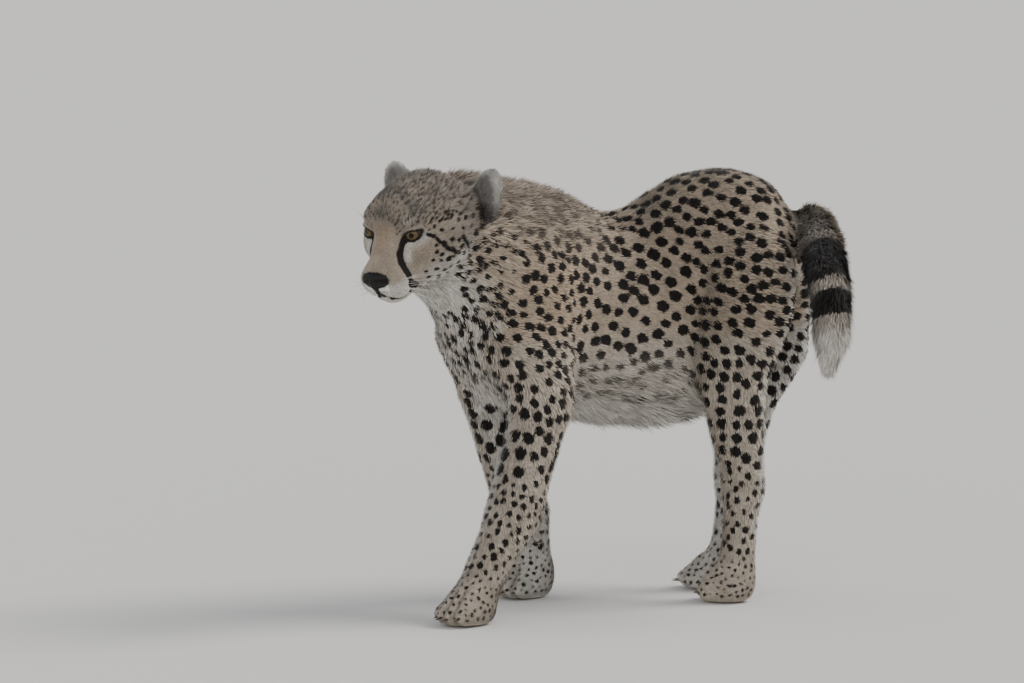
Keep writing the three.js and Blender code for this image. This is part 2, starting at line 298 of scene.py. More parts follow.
def joinedCopy(nodes, grow):
    # The nodes' faces in one mesh, each a little grown, so that neighbours overlap.
    whole = bmesh.new()
    for node in nodes:
        part = mergedCopy(node)
        part.normal_update()
        for vertex in part.verts:
            vertex.co += vertex.normal * grow
        held = bpy.data.meshes.new("held")
        part.to_mesh(held)
        part.free()
        whole.from_mesh(held)
        bpy.data.meshes.remove(held)
    mesh = bpy.data.meshes.new("joined")
    whole.to_mesh(mesh)
    whole.free()
    return mesh


def remeshed(mesh, voxel):
    thing = linkObject("remeshing", mesh)
    remesh = thing.modifiers.new("remesh", "REMESH")
    remesh.mode = "VOXEL"
    remesh.voxel_size = voxel
    result = bpy.data.meshes.new_from_object(
        thing.evaluated_get(bpy.context.evaluated_depsgraph_get()))
    bpy.data.objects.remove(thing)
    return result


def nearestOf(points, node):
    # The nearest place on a node, for each point.
    tree = treeOf(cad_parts[node].data)
    return np.array([tree.find_nearest(Vector(p))[0] for p in points])


def nodeFinder(nodes):
    # Says which of the nodes each point is nearest to.
    corners, faces, owner = [], [], []
    for index, node in enumerate(nodes):
        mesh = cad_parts[node].data
        first = len(corners)
        corners += [v.co.copy() for v in mesh.vertices]
        for polygon in mesh.polygons:
            faces.append([first + i for i in polygon.vertices])
            owner.append(index)
    tree = BVHTree.FromPolygons(corners, faces)

    def find(points):
        return np.array([owner[tree.find_nearest(p)[2]] for p in points])

    return find


def refineFine(mesh):
    # Faces of the head and paws are halved, so that lids, lips and toes have room.
    work = bmesh.new()
    work.from_mesh(mesh)
    points = np.array([v.co for v in work.verts])
    local = inHead(points)
    limits = skinPlan["fine"]
    fine = (local[:, 0] > limits["behind"]) & (np.abs(local[:, 1]) < limits["aside"])
    fine &= (local[:, 2] > limits["below"]) & (local[:, 2] < limits["above"])
    fine |= points[:, 2] < limits["paws"]
    edges = [e for e in work.edges if fine[e.verts[0].index] and fine[e.verts[1].index]]
    bmesh.ops.subdivide_edges(work, edges=edges, cuts=1, use_grid_fill=True, smooth=0.0)
    bmesh.ops.triangulate(work, faces=[f for f in work.faces if len(f.verts) > 4])
    work.to_mesh(mesh)
    work.free()


def coatDepths(points, normals, owner, tailAlong):
    # How deep the coat is at each place, in millimetres.
    plan = skinPlan
    local = inHead(points)
    names = np.array(bodyNodes)[owner]
    forward, _, backward, _ = bodyAxes(points)
    upward, ahead, height = normals[:, 2], -(normals * backward).sum(1), points[:, 2]
    trunk = plan["coatTrunk"]
    depth = np.full(len(points), trunk["side"])
    backDepth = trunk["back"] + (trunk["withers"] - trunk["back"]) * ramp(forward, -0.04, 0.16)
    onTrunk = np.isin(names, trunkNodes)
    body = trunk["side"] + (backDepth - trunk["side"]) * ramp(upward, 0.2, 0.8)
    body += (trunk["belly"] - trunk["side"]) * ramp(-upward, 0.1, 0.7) * ramp(0.45 - height, 0, 0.1)
    body += (trunk["breast"] - trunk["side"]) * ramp(ahead, 0.2, 0.7) * ramp(forward, 0.16, 0.26)
    depth = np.where(onTrunk, body, depth)
    neck = plan["coatNeck"]
    neckDepth = neck["side"] + (neck["nape"] - neck["side"]) * ramp(upward, 0.1, 0.8)
    neckDepth += (neck["throat"] - neck["side"]) * ramp(-upward, 0.1, 0.8)
    depth = np.where(names == "neck", neckDepth, depth)
    head = plan["coatHead"]
    headDepth = head["muzzle"] + (head["cheek"] - head["muzzle"]) * ramp(70 - local[:, 0], 0, 45)
    headDepth += (head["crown"] - head["cheek"]) * ramp(10 - local[:, 0], 0, 50)
    depth = np.where(names == "head", headDepth, depth)
    leg = plan["coatLeg"]
    legDepth = leg["foot"] + (leg["shank"] - leg["foot"]) * ramp(height, 0.05, 0.11)
    legDepth += (leg["top"] - leg["shank"]) * ramp(height, 0.16, 0.36)
    depth = np.where(np.isin(names, legNodes), legDepth, depth)
    tail = plan["coatTail"]
    tailDepth = tail["start"] + (tail["middle"] - tail["start"]) * ramp(tailAlong, 0.0, 0.15)
    tailDepth *= 0.3 + 0.7 * ramp(tailAlong.max() - tailAlong, 0.0, tail["tipFrom"])
    depth = np.where(np.isin(names, tailNodes), tailDepth, depth)
    return depth


def tailLine():
    # The middle line of the tail from its root to its tip, found from the three nodes.
    parts = []
    for node in tailNodes:
        work = mergedCopy(node)
        parts.append(np.array([v.co for v in work.verts]))
        work.free()
    cloud = np.concatenate(parts)
    # It begins where the tail is nearest to the rump.
    rump = treeOf(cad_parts["rump"].data)
    gaps = np.array([rump.find_nearest(Vector(p))[3] for p in parts[0]])
    begin = parts[0][gaps < gaps.min() + 0.012].mean(0)
    tree = placeTree(cloud)
    reach = np.full(len(cloud), 1e9)
    queue = []
    for point, index, away in tree.find_range(begin, 0.05):
        reach[index] = away
        queue.append((away, index))
    heapq.heapify(queue)
    while queue:
        done, here = heapq.heappop(queue)
        if done > reach[here]:
            continue
        for point, index, away in tree.find_range(cloud[here], 0.045):
            if done + away < reach[index]:
                reach[index] = done + away
                heapq.heappush(queue, (reach[index], index))
    steps = np.round(reach / 0.035).astype(int)
    line = [cloud[steps == step].mean(0) for step in range(steps.max() + 1) if (steps == step).sum() > 3]
    return np.array([begin] + line)


tailMiddle = tailLine()
print("tail line", len(tailMiddle), "points")


def makeSkinShape():
    fill = ["eye_left", "eye_right", "nose"]
    mesh = remeshed(joinedCopy(bodyNodes + fill, skinPlan["overlap"]), skinPlan["voxel"])
    refineFine(mesh)
    edges = edgesOf(mesh)
    points = pointsOf(mesh)
    owner = nodeFinder(bodyNodes)(points)
    names = np.array(bodyNodes)[owner]
    plan = skinPlan["wear"]
    wear = np.where(np.isin(names, trunkNodes + ["neck"]), plan["trunk"], plan["tail"])
    legTop = ramp(points[:, 2], 0.2, 0.4)
    wear = np.where(np.isin(names, legNodes), plan["shank"] + plan["haunch"] * legTop, wear)
    wear = np.where(names == "head", plan["head"], wear)
    wear = np.where(points[:, 2] < 0.05, plan["paw"], wear)
    wear = spreadOut(wear, edges, 12)
    points = spreadOut(points, edges, skinPlan["wearRounds"], 0.5, wear)
    movePoints(mesh, points)
    _, tailAlong = lineDistance(points, tailMiddle)
    depth = coatDepths(points, normalsOf(mesh), owner, tailAlong)
    depth = spreadOut(depth, edges, 40)
    # The skin is taken in step by step, and kept even as it goes.
    steps = 12
    for _ in range(steps):
        points = points - normalsOf(mesh) * (depth * mm / steps)[:, None]
        points = spreadOut(points, edges, 1, 0.35, np.minimum(wear * 2, 1))
        movePoints(mesh, points)
    return mesh, depth, owner


skinMesh, coatDepth, skinOwner = makeSkinShape()
print("skin shape", len(skinMesh.vertices), "points", len(skinMesh.polygons), "faces")


# Toes are parted by grooves that run back from between the claws.
pawPlan = {
    "top": 0.055,        # metres; the rest in millimetres
    "grooveReach": 2.9,
    "grooveDepth": 5.0,
    "fades": (28.0, 50.0),
    "gather": 0.4,       # how far the toes draw together towards the wrist
    "toeReach": 6.0,
    "dewclawReach": 8.0,
    "tip": {"back": 9.0, "reach": 6.0, "rise": 1.2},
    "knuckle": {"back": 24.0, "reach": 9.0, "rise": 1.8},
}


def sculptPaws(mesh, owner):
    plan = pawPlan
    points = pointsOf(mesh)
    rise = np.zeros(len(points))
    for leg in legNodes:
        claws = np.array([middle(f"{leg.replace('leg', 'claw')}_{k + 1}") for k in range(4)])
        here = (owner == bodyNodes.index(leg)) & (points[:, 2] < plan["top"])
        front = claws.mean(0)
        back = unit((points[here].mean(0) - front) * (1, 1, 0))
        side = np.array((-back[1], back[0], 0.0))
        across, behind = (points - front) @ side / mm, (points - front) @ back / mm
        gather = 1 - plan["gather"] * ramp(behind, 0, 50)
        toes = np.sort((claws - front) @ side / mm)
        for groove in (toes[:-1] + toes[1:]) / 2:
            cut = bell(across - groove * gather, plan["grooveReach"])
            rise -= here * plan["grooveDepth"] * cut * (1 - ramp(behind, *plan["fades"]))
        for toe in toes:
            ridge = here * bell(across - toe * gather, plan["toeReach"])
            for bump in (plan["tip"], plan["knuckle"]):
                rise += ridge * bump["rise"] * bell(behind - bump["back"], bump["reach"])
    points = points + normalsOf(mesh) * (rise * ramp(points[:, 2], 0.0, 0.006) * mm)[:, None]
    tree = treeOf(mesh)
    for leg in legNodes[:2]:
        # The skin reaches out to the dewclaw.
        claw = middle(leg.replace("leg", "dewclaw"))
        root = np.array(tree.find_nearest(Vector(claw))[0])
        pulled = bell(np.linalg.norm(points - root, axis=1) / mm, plan["dewclawReach"])
        points = points + (claw - root) * pulled[:, None]
    movePoints(mesh, points)


facePlan = {
    # Places are in the head's own millimetres for its left half; each is mirrored.
    # place, reach, rise
    "swellings": [
        ((88, 15, -54), 12, 2.2),   # whisker pad
        ((76, 22, -60), 13, 1.6),
        ((80, 0, -84), 14, 1.5),    # chin
        ((44, 40, 27), 13, 2.6),    # brow
        ((58, 24, 14), 9, -1.6),    # hollow beside the bridge
        ((34, 50, -10), 16, 1.5),   # cheekbone
        ((60, 34, -34), 16, -1.5),  # hollow behind the pad
    ],
    "mouth": [(103, 0, -54), (97, 2, -62), (91, 5, -69), (85, 12, -73), (77, 22, -73), (68, 29, -69),
              (60, 31, -65)],
    "mouthGroove": {"reach": 2.4, "depth": 3.8},
    "philtrum": [(107, 0, -50), (103, 0, -57)],
    "philtrumGroove": {"reach": 1.6, "depth": 1.6},
    "tear": [(56, 28, 5), (63, 25, -3), (69, 25, -13), (72, 27, -24), (73, 32, -34), (70, 36, -46)],
    "mouthCorner": [(70, 36, -55), (60, 33, -61), (50, 31, -66)],
    "outerStripe": [(40, 52, 9), (31, 59, 2), (26, 64, -7), (18, 68, -19), (5, 71, -29)],
    "cheekStripe": [(-13, 72, -13), (-23, 69, -30), (-38, 63, -50), (-46, 64, -61)],
    # the dark lines, each with its half width at start and end
    "widths": {"tear": (4.6, 5.6), "mouthCorner": (6.4, 4.4), "outerStripe": (2.3, 3.5),
               "cheekStripe": (3.4, 3.4), "mouth": (3.6, 4.6), "philtrum": (1.8, 1.8)},
    # spots of the cheek and the brow: place and radius
    "faceSpots": [((32, 62, -10), 2.4), ((26, 64, -25), 3.2), ((27, 61, -34), 3.0), ((14, 66, -36), 4.6),
                  ((7, 69, -34), 3.2), ((-22, 50, -57), 4.4), ((14, 55, -52), 3.8), ((-8, 72, -25), 3.4),
                  ((-50, 55, -73), 5.0), ((-32, 45, -76), 4.4), ((-37, 54, -57), 4.0),
                  ((39, 28, 51), 3.0), ((52, 36, 33), 2.6), ((-6, 66, -48), 3.6)],
    "spotRoom": 5.5,            # kept free of other spots round each
    # dark patches: middle and half sizes
    "noseBed": ((98, 0, -42), (18, 24, 13)),
    "earBase": ((-71, 72, 3), (15, 19, 18)),
    "earCup": ((-70, 85, 43), (9, 9, 8)),
    "eyeCorner": ((57, 28.5, 4), 6.0),
    "eyeRim": 3.2,
}


def bothSides(line):
    line = np.array(line, dtype=float)
    return [line, line * (1, -1, 1)]


def laidOn(tree, line, step=3.0):
    # A line of the face, drawn down onto the skin.
    fine = [line[0]]
    for start, end in zip(line[:-1], line[1:]):
        count = max(1, int(np.linalg.norm(end - start) / step))
        fine += [start + (end - start) * (k + 1) / count for k in range(count)]
    return inHead(np.array([tree.find_nearest(Vector(p))[0] for p in fromHead(fine)]))


def sculptFace(mesh):
    points = pointsOf(mesh)
    onHead = inHead(points)[:, 0] > 0
    rise = np.zeros(len(points))
    local = inHead(points)
    for place, reach, height in facePlan["swellings"]:
        for side in ((1, 1, 1), (1, -1, 1)) if place[1] else ((1, 1, 1),):
            away = np.linalg.norm(local - np.array(place) * side, axis=1)
            rise += height * bell(away, reach)
    points = points + normalsOf(mesh) * (rise * onHead * mm)[:, None]
    movePoints(mesh, points)
    tree = treeOf(mesh)
    local = inHead(points)
    sunk = np.zeros(len(points))
    for name in ("mouth", "philtrum"):
        groove = facePlan[name + "Groove"]
        for line in bothSides(facePlan[name]):
            away, _ = lineDistance(local, laidOn(tree, line))
            sunk = np.maximum(sunk, groove["depth"] * bell(away, groove["reach"]))
    points = points - normalsOf(mesh) * (sunk * onHead * mm)[:, None]
    movePoints(mesh, points)


lidPlan = {
    "radius": 15.45,
    "turn": 20.0,        # outward from straight ahead
    "slant": 14.0,       # outer corner higher
    "halfWidth": 13.2,
    "upper": 5.0,
    "lower": 6.0,
    "points": 56,
    # distance out from the opening's edge, height over the eyeball
    "rows": [(-1.2, -0.3), (-0.3, 0.45), (0.5, 1.3), (1.6, 2.0), (3.0, 2.2)],
    "blend": [(5.0, 0.5), (7.5, 0.35), (10.5, 0.1), (14.0, -0.9)],
    "sink": 1.4,
}


def eyeAxes(side):
    # Where an eye looks, its outward and its upward direction, in the head's axes.
    turn, slant = math.radians(lidPlan["turn"]), math.radians(lidPlan["slant"])
    gaze = np.array((math.cos(turn), side * math.sin(turn), 0.0))
    level = np.array((-math.sin(turn), side * math.cos(turn), 0.0))
    up = np.array((0.0, 0.0, 1.0))
    outward = math.cos(slant) * level + math.sin(slant) * up
    upward = -math.sin(slant) * level + math.cos(slant) * up
    return gaze, outward, upward


def eyeMiddle(side):
    return inHead(middle("eye_left" if side > 0 else "eye_right")[None])[0]


def openingPlace(angle, out):
    # A place in the plane across the eye, out millimetres outside the opening's edge.
    plan = lidPlan
    across, rise = math.cos(angle), math.sin(angle)
    height = plan["upper"] if rise > 0 else plan["lower"]
    shape = np.array((plan["halfWidth"] * across, height * rise))
    if across < -0.6:
        shape += np.array((-2.2, -1.6)) * ((-across - 0.6) / 0.4) ** 1.5
    if across > 0.8:
        shape[1] += 0.6 * (across - 0.8) / 0.2
    return shape + out * np.array((across, rise * 1.05)) / math.hypot(across, rise * 1.05)


def eyeDistance(local, side):
    # Signed distance, in the plane across the eye, from the edge of its opening.
    gaze, outward, upward = eyeAxes(side)
    away = local - eyeMiddle(side)
    plane = np.stack((away @ outward, away @ upward), axis=1)
    edge = np.array([openingPlace(a, 0) for a in np.linspace(0, 2 * math.pi, 73)[:-1]])
    gap = np.linalg.norm(plane[:, None] - edge[None], axis=2)
    nearest = gap.argmin(1)
    inside = np.linalg.norm(plane, axis=1) < np.linalg.norm(edge[nearest], axis=1)
    distance = np.where(inside, -gap.min(1), gap.min(1))
    return np.where(away @ gaze > 2, distance, 99.0)


def sinkUnderLids(mesh):
    points = pointsOf(mesh)
    local = inHead(points)
    for side in (1, -1):
        near = np.flatnonzero(np.linalg.norm(local - eyeMiddle(side), axis=1) < 34)
        distance = eyeDistance(local[near], side)
        away = local[near] - eyeMiddle(side)
        radius = np.linalg.norm(away, axis=1)
        limit = lidPlan["radius"] - lidPlan["sink"] + 30 * ramp(distance, 3.5, 30)
        target = np.minimum(radius, limit)
        local[near] = eyeMiddle(side) + away * np.where(distance < 50, target / radius, 1.0)[:, None]
    movePoints(mesh, fromHead(local))


def makeLids(side, tree):
    plan = lidPlan
    gaze, outward, upward = eyeAxes(side)
    centre = eyeMiddle(side)
    count = plan["points"]
    rows = []
    for out, height in plan["rows"] + plan["blend"]:
        row = []
        for index in range(count):
            u, v = openingPlace(2 * math.pi * index / count, out)
            reach = plan["radius"]
            depth = math.sqrt(max(reach ** 2 - u * u - v * v, 4.0))
            direction = unit(gaze * depth + outward * u + upward * v)
            place = centre + direction * (reach + height)
            if (out, height) in plan["blend"]:
                near, normal = tree.find_nearest(Vector(fromHead(place)))[:2]
                skin = inHead(np.array([near]))[0] + headTurn @ np.array(normal) * height
                share = plan["blend"].index((out, height)) / (len(plan["blend"]) - 1)
                lifted = centre + unit(skin - centre) * max(np.linalg.norm(skin - centre), reach + 1.2)
                place = lifted * (1 - share) + skin * share
            row.append(place)
        rows.append(row)
    places = fromHead([p for row in rows for p in row])
    faces = []
    for r in range(len(rows) - 1):
        for index in range(count):
            after = (index + 1) % count
            quad = [r * count + index, (r + 1) * count + index, (r + 1) * count + after, r * count + after]
            faces.append(quad if side > 0 else quad[::-1])
    return meshFrom("lids", places, faces)


def makeEar(node):
    mesh = remeshed(joinedCopy([node], 0.0), skinPlan["earVoxel"])
    edges = edgesOf(mesh)
    movePoints(mesh, spreadOut(pointsOf(mesh), edges, 10))
    movePoints(mesh, pointsOf(mesh) - normalsOf(mesh) * skinPlan["coatEar"] * mm)
    return mesh


def joinedMesh(name, meshes):
    work = bmesh.new()
    for mesh in meshes:
        work.from_mesh(mesh)
    whole = bpy.data.meshes.new(name)
    work.to_mesh(whole)
    work.free()
    return whole


sculptPaws(skinMesh, skinOwner)
sculptFace(skinMesh)
sinkUnderLids(skinMesh)
skinTree = treeOf(skinMesh)
faceLines = {name: [laidOn(skinTree, line) for line in bothSides(facePlan[name])]
             for name in facePlan["widths"]}
lidMeshes = [makeLids(side, skinTree) for side in (1, -1)]
earMeshes = [makeEar(node) for node in earNodes]
partSizes = [len(m.vertices) for m in [skinMesh] + lidMeshes + earMeshes]
skinMesh = joinedMesh("skin", [skinMesh] + lidMeshes + earMeshes)
partOf = np.repeat(np.arange(5), partSizes)     # 0 body, 1 and 2 lids, 3 and 4 ears
print("face and ears", len(skinMesh.polygons), "faces")


# The skin and the coat carry the same markings.
spotPlan = {
    # pitch between spots and radius of one, in millimetres
    "trunk": (18.0, 8.0),
    "back": (15.0, 6.9),
    "neck": (14.5, 5.8),
    "breast": (13.5, 5.8),
    "foreleg": (15.5, 6.8),
    "blotch": (19.0, 9.0),
    "thigh": (16.5, 7.2),
    "shank": (12.0, 4.4),
    "foot": (8.0, 2.3),
    "crown": (5.6, 2.2),
    "cheek": (12.0, 3.6),
    "tail": (12.0, 4.2),
    "seed": 11,
    "stretch": {"body": 1.15, "crown": 1.7},
    "vary": (0.84, 1.14),
    "room": 0.43,      # a spot's radius, at most, as a share of the way to the next
}
tailPlan = {
    # rings in millimetres from the tip; the tip itself is white
    "darkRings": [(62, 93), (110, 180)],
    "paleRings": [(93, 110), (180, 191)],
    "whiteTip": 62,
    "ringsFrom": 197,
}


def placesOf(partOf, owner):
    # The name of the part of the animal that each point belongs to.
    names = np.array(bodyNodes)[owner]
    extra = np.where(partOf[len(owner):] < 3, "head", "ear")
    return np.concatenate([names, extra])


points = pointsOf(skinMesh)
normals = normalsOf(skinMesh)
edges = edgesOf(skinMesh)
names = placesOf(partOf, skinOwner)
local = inHead(points)
localNormals = normals @ headTurn.T
isLeg = np.isin(names, legNodes)
isFore = np.isin(names, legNodes[:2])
isTail = np.isin(names, tailNodes)
isTrunk = np.isin(names, trunkNodes)
isEar = names == "ear"
isHead = names == "head"
isNeck = names == "neck"
inFront = isNeck | (names == "chest")
forward, leftward, backDirection, leftDirection = bodyAxes(points)
facing = -(normals * backDirection).sum(1)      # 1 where the surface looks the way the body goes
outward = (normals * leftDirection).sum(1) * np.sign(leftward)
_, tailAlong = lineDistance(points, tailMiddle)
tailLength = np.linalg.norm(np.diff(tailMiddle, axis=0), axis=1).sum()
fromTip = (tailLength - tailAlong) / mm
crownClumps = waves(31, 9, edges, len(points))[:, 0]


def spotSizes():
    # Pitch and radius of the spots round each point; radius 0 where there are none.
    height, down = points[:, 2], -normals[:, 2]
    ahead, aloft = local[:, 0], local[:, 2]
    pitch = np.full(len(points), spotPlan["trunk"][0])
    radius = np.full(len(points), spotPlan["trunk"][1])

    def use(where, name):
        pitch[where], radius[where] = spotPlan[name]

    use(isTrunk & ((down < -0.6) | ((forward < -0.05) & (height > 0.5))), "back")
    use(isNeck, "neck")
    use(inFront & (facing > 0.5) & (height < 0.46), "breast")
    use(isFore, "foreleg")
    use(isFore & (height < 0.3) & ((outward < 0.2) | (facing > 0.6)), "blotch")
    use(isLeg & ~isFore, "thigh")
    use(isLeg & (height < 0.2), "shank")
    use(isLeg & (height < 0.075), "foot")
    use(isHead, "crown")
    cheek = isHead & (aloft < 12) & (ahead < 38)
    use(cheek, "cheek")
    use(isTail, "tail")
    # Spots grow smaller towards the belly and the brow, and in clumps on the crown.
    radius[isTrunk] *= (1 - 0.2 * ramp(0.39 - height, 0, 0.05))[isTrunk]
    radius[isHead] *= (1 - 0.45 * ramp(ahead, 25, 62))[isHead]
    radius[isHead & ~cheek] *= np.clip(0.95 + 0.35 * crownClumps, 0.4, 1.5)[isHead & ~cheek]
    nearEye = np.minimum(eyeDistance(local, 1), eyeDistance(local, -1))
    bare = isHead & ((ahead > 62) | ((aloft < 12) & (ahead > 40)) | (nearEye < 8))     # face
    bare |= isTrunk & (down > 0.6) & (height < 0.34)                    # belly
    bare |= isNeck & (down > 0.62) & (height > 0.45)                    # throat
    bare |= isLeg & (height < 0.012)
    bare |= isTail & (fromTip < tailPlan["ringsFrom"])
    bare |= isEar
    radius[bare] = 0
    pitch = spreadOut(pitch, edges, 6)
    return pitch, radius


def spreadSpots(pitch, radius):
    # Spots keep their distance from each other, and are otherwise in no order.
    shuffle = np.random.default_rng(spotPlan["seed"])
    tree = placeTree(points)
    free = np.ones(len(points), bool)
    chosen, kept = [], []
    for place, size in facePlan["faceSpots"]:
        for side in (1, -1):
            _, index, _ = tree.find(fromHead(np.array(place) * (1, side, 1)))
            kept.append(index)
            radius[index] = size
            for _, other, _ in tree.find_range(points[index], (size + facePlan["spotRoom"]) * mm):
                free[other] = False
    for index in shuffle.permutation(len(points)):
        if not free[index] or radius[index] == 0:
            continue
        chosen.append(index)
        for _, other, _ in tree.find_range(points[index], pitch[index] * mm):
            free[other] = False
    sizes = radius[chosen] * shuffle.uniform(*spotPlan["vary"], len(chosen))
    chosen = np.array(kept + chosen)
    sizes = np.concatenate([radius[kept], sizes])
    spots = placeTree(points[chosen])
    for index, place in enumerate(points[chosen]):
        if index < len(kept):
            continue
        _, _, away = spots.find_n(place, 2)[1]
        sizes[index] = min(sizes[index], spotPlan["room"] * away / mm)
    return points[chosen], sizes, chosen


def earRims():
    # 1 along the edge of an ear, 0 in its middle.
    rim = np.zeros(len(points))
    for node, part in zip(earNodes, (3, 4)):
        cloud = np.array([v.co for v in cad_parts[node].data.vertices])
        centre = cloud.mean(0)
        axes = np.linalg.svd(cloud - centre, full_matrices=False)[2][:2]     # its height and width
        half = np.abs((cloud - centre) @ axes.T).max(0)
        away = np.linalg.norm((points - centre) @ axes.T / half, axis=1)
        rim = np.where(partOf == part, ramp(away, 0.68, 0.92), rim)
    return rim


tonePlan = {
    # warm: the bridge of the nose in the head's millimetres, the shoulder in metres of the body
    "bridge": ((76, 0, 8), (30, 10, 26), 0.9),
    "shoulder": {"forward": (0.22, 0.07), "height": (0.46, 0.08), "share": 0.4},
    # pale: middle and reaches in the head's millimetres, the brow's counted from the eye
    "besideTear": ((64, 34, -16), (12, 5, 12)),
    "overEye": ((8, 2, 17), (12, 12, 6)),
    "underEye": 13,             # how far the pale band reaches below the eye
    "innerLeg": (0.25, 0.7),    # pale everywhere, and more of it on the inner side
    "grey": {"nape": 0.3, "cheek": 0.3, "crown": 0.75, "tail": 0.6, "ear": 1.0},
}


def coatTones():
    # Shares of pale, orange and grey in the coat.
    plan = tonePlan
    high, down, up = points[:, 2], -normals[:, 2], normals[:, 2]
    fixed, more = plan["innerLeg"]
    pale = [
        isTrunk * ramp(down, 0.15, 0.75) * ramp(0.42 - high, 0, 0.12),      # belly
        isTrunk * 0.6 * ramp(0.42 - high, 0, 0.09),                         # low flank
        (isLeg & (high < 0.4)) * (fixed + more * ramp(-outward, -0.1, 0.6)),
        inFront * ramp(facing, 0.3, 0.8) * ramp(0.52 - high, 0, 0.1) * 0.7,   # breast
        isNeck * ramp(down, 0.25, 0.75),                                    # throat
        (~isFore & isLeg & (high > 0.1)) * ramp(-facing, 0.6, 0.95) * 0.7,    # back of the thigh
        isHead * ramp(local[:, 0], 52, 78) * ramp(-local[:, 2], 40, 54),    # lips and chin
        isHead * ramp(-local[:, 2], 16, 52) * ramp(56 - local[:, 0], 0, 30),
        isTail * ramp(tailPlan["whiteTip"] + 6 - fromTip, 0, 12),
        isTail * 0.2,
        isEar * ramp(-localNormals[:, 1] * np.sign(local[:, 1]), 0.0, 0.5) * 0.35,
        earRims() * 0.9,
    ]
    pale += [isTail * 0.8 * (fromTip > low) * (fromTip < high) for low, high in tailPlan["paleRings"]]
    for side in (1, -1):
        _, _, upward = eyeAxes(side)
        gap = eyeDistance(local, side)
        below = ramp(-((local - eyeMiddle(side)) @ upward), 2, 6)
        pale.append(isHead * ramp(plan["underEye"] - gap, 0, 4) * (gap > 2) * below)
        place, reach = plan["besideTear"]
        beside = np.linalg.norm((local - np.array(place) * (1, side, 1)) / reach, axis=1)
        pale.append(isHead * ramp(1.2 - beside, 0, 0.6) * 0.9)
        place, reach = plan["overEye"]
        over = local - eyeMiddle(side) - np.array(place) * (1, side, 1)
        pale.append(0.35 * np.exp(-(over ** 2 / np.array(reach) ** 2).sum(1)))
    place, reach, share = plan["bridge"]
    warm = isHead * np.exp(-((local - place) ** 2 / np.array(reach) ** 2).sum(1)) * share
    onSide = (isTrunk | isLeg | isNeck) * ramp(outward, 0.0, 0.5)
    ahead, height = plan["shoulder"]["forward"], plan["shoulder"]["height"]
    glow = bell(forward - ahead[0], ahead[1]) * bell(points[:, 2] - height[0], height[1])
    warm = np.maximum(warm, onSide * glow * plan["shoulder"]["share"])
    share = plan["grey"]
    grey = np.maximum.reduce([
        inFront * ramp(up, 0.0, 0.8) * ramp(forward, 0.01, 0.16) * share["nape"],
        isHead * (share["cheek"] + 0.6 * ramp(40 - local[:, 0], 0, 60)),
        isHead * (share["crown"] + 0.25 * crownClumps) * ramp(local[:, 2], 12, 34),
        isTail * share["tail"],
        isEar * share["ear"]])
    pale = np.maximum.reduce(pale)
    return spreadOut(pale, edges, 5), spreadOut(warm, edges, 10), spreadOut(grey, edges, 14)


def faceEdges(local):
    # Signed distance to the dark lines of the face, in millimetres.
    edge = np.full(len(local), 60.0)
    for name, (start, end) in facePlan["widths"].items():
        for line in faceLines[name]:
            away, along = lineDistance(local, line)
            edge = np.minimum(edge, away - start - (end - start) * along / max(along.max(), 1))

    def patch(name, side):
        place, half = facePlan[name]
        return np.linalg.norm((local - np.array(place) * (1, side, 1)) / half, axis=1)

    edge = np.minimum(edge, (patch("noseBed", 1) - 1) * 14)
    for side in (1, -1):
        edge = np.minimum(edge, eyeDistance(local, side) - facePlan["eyeRim"])
        corner, reach = facePlan["eyeCorner"]
        edge = np.minimum(edge, np.linalg.norm(local - np.array(corner) * (1, side, 1), axis=1) - reach)
        # The cup is dark only on the side of the ear that looks inward.
        cup = patch("earCup", side) + 9 * (localNormals[:, 1] * side > -0.1)
        edge = np.minimum(edge, np.minimum(patch("earBase", side) - 1, cup - 1) * 12)
    return edge


def spotSqueeze(places):
    # How strongly a spot is drawn out along the lie of the hair.
    onCrown = inHead(places)[:, 2] > 14
    stretch = np.where(onCrown, spotPlan["stretch"]["crown"], spotPlan["stretch"]["body"])
    return 1 - 1 / stretch ** 2


def spotEdges(places, tree, centres, sizes, lies, squeeze):
    # Signed distance to the edge of the nearest spot, negative inside it.
    edge = np.full(len(places), 60.0)
    for index, place in enumerate(places):
        _, spot, away = tree.find(place)
        run = (place - centres[spot]) @ lies[spot] / mm
        edge[index] = math.sqrt(max((away / mm) ** 2 - squeeze[spot] * run * run, 0.0)) - sizes[spot]
    return edge


def lineEdges(places):
    # Signed distance to the face's dark lines and the tail's rings.
    edge = np.where(isHead | isEar, faceEdges(inHead(places)), 60.0)
    slant = 5 * normals[:, 0]
    for low, high in tailPlan["darkRings"]:
        ring = np.maximum(low - fromTip + slant, fromTip - slant - high)
        edge = np.where(isTail, np.minimum(edge, ring), edge)
    return edge


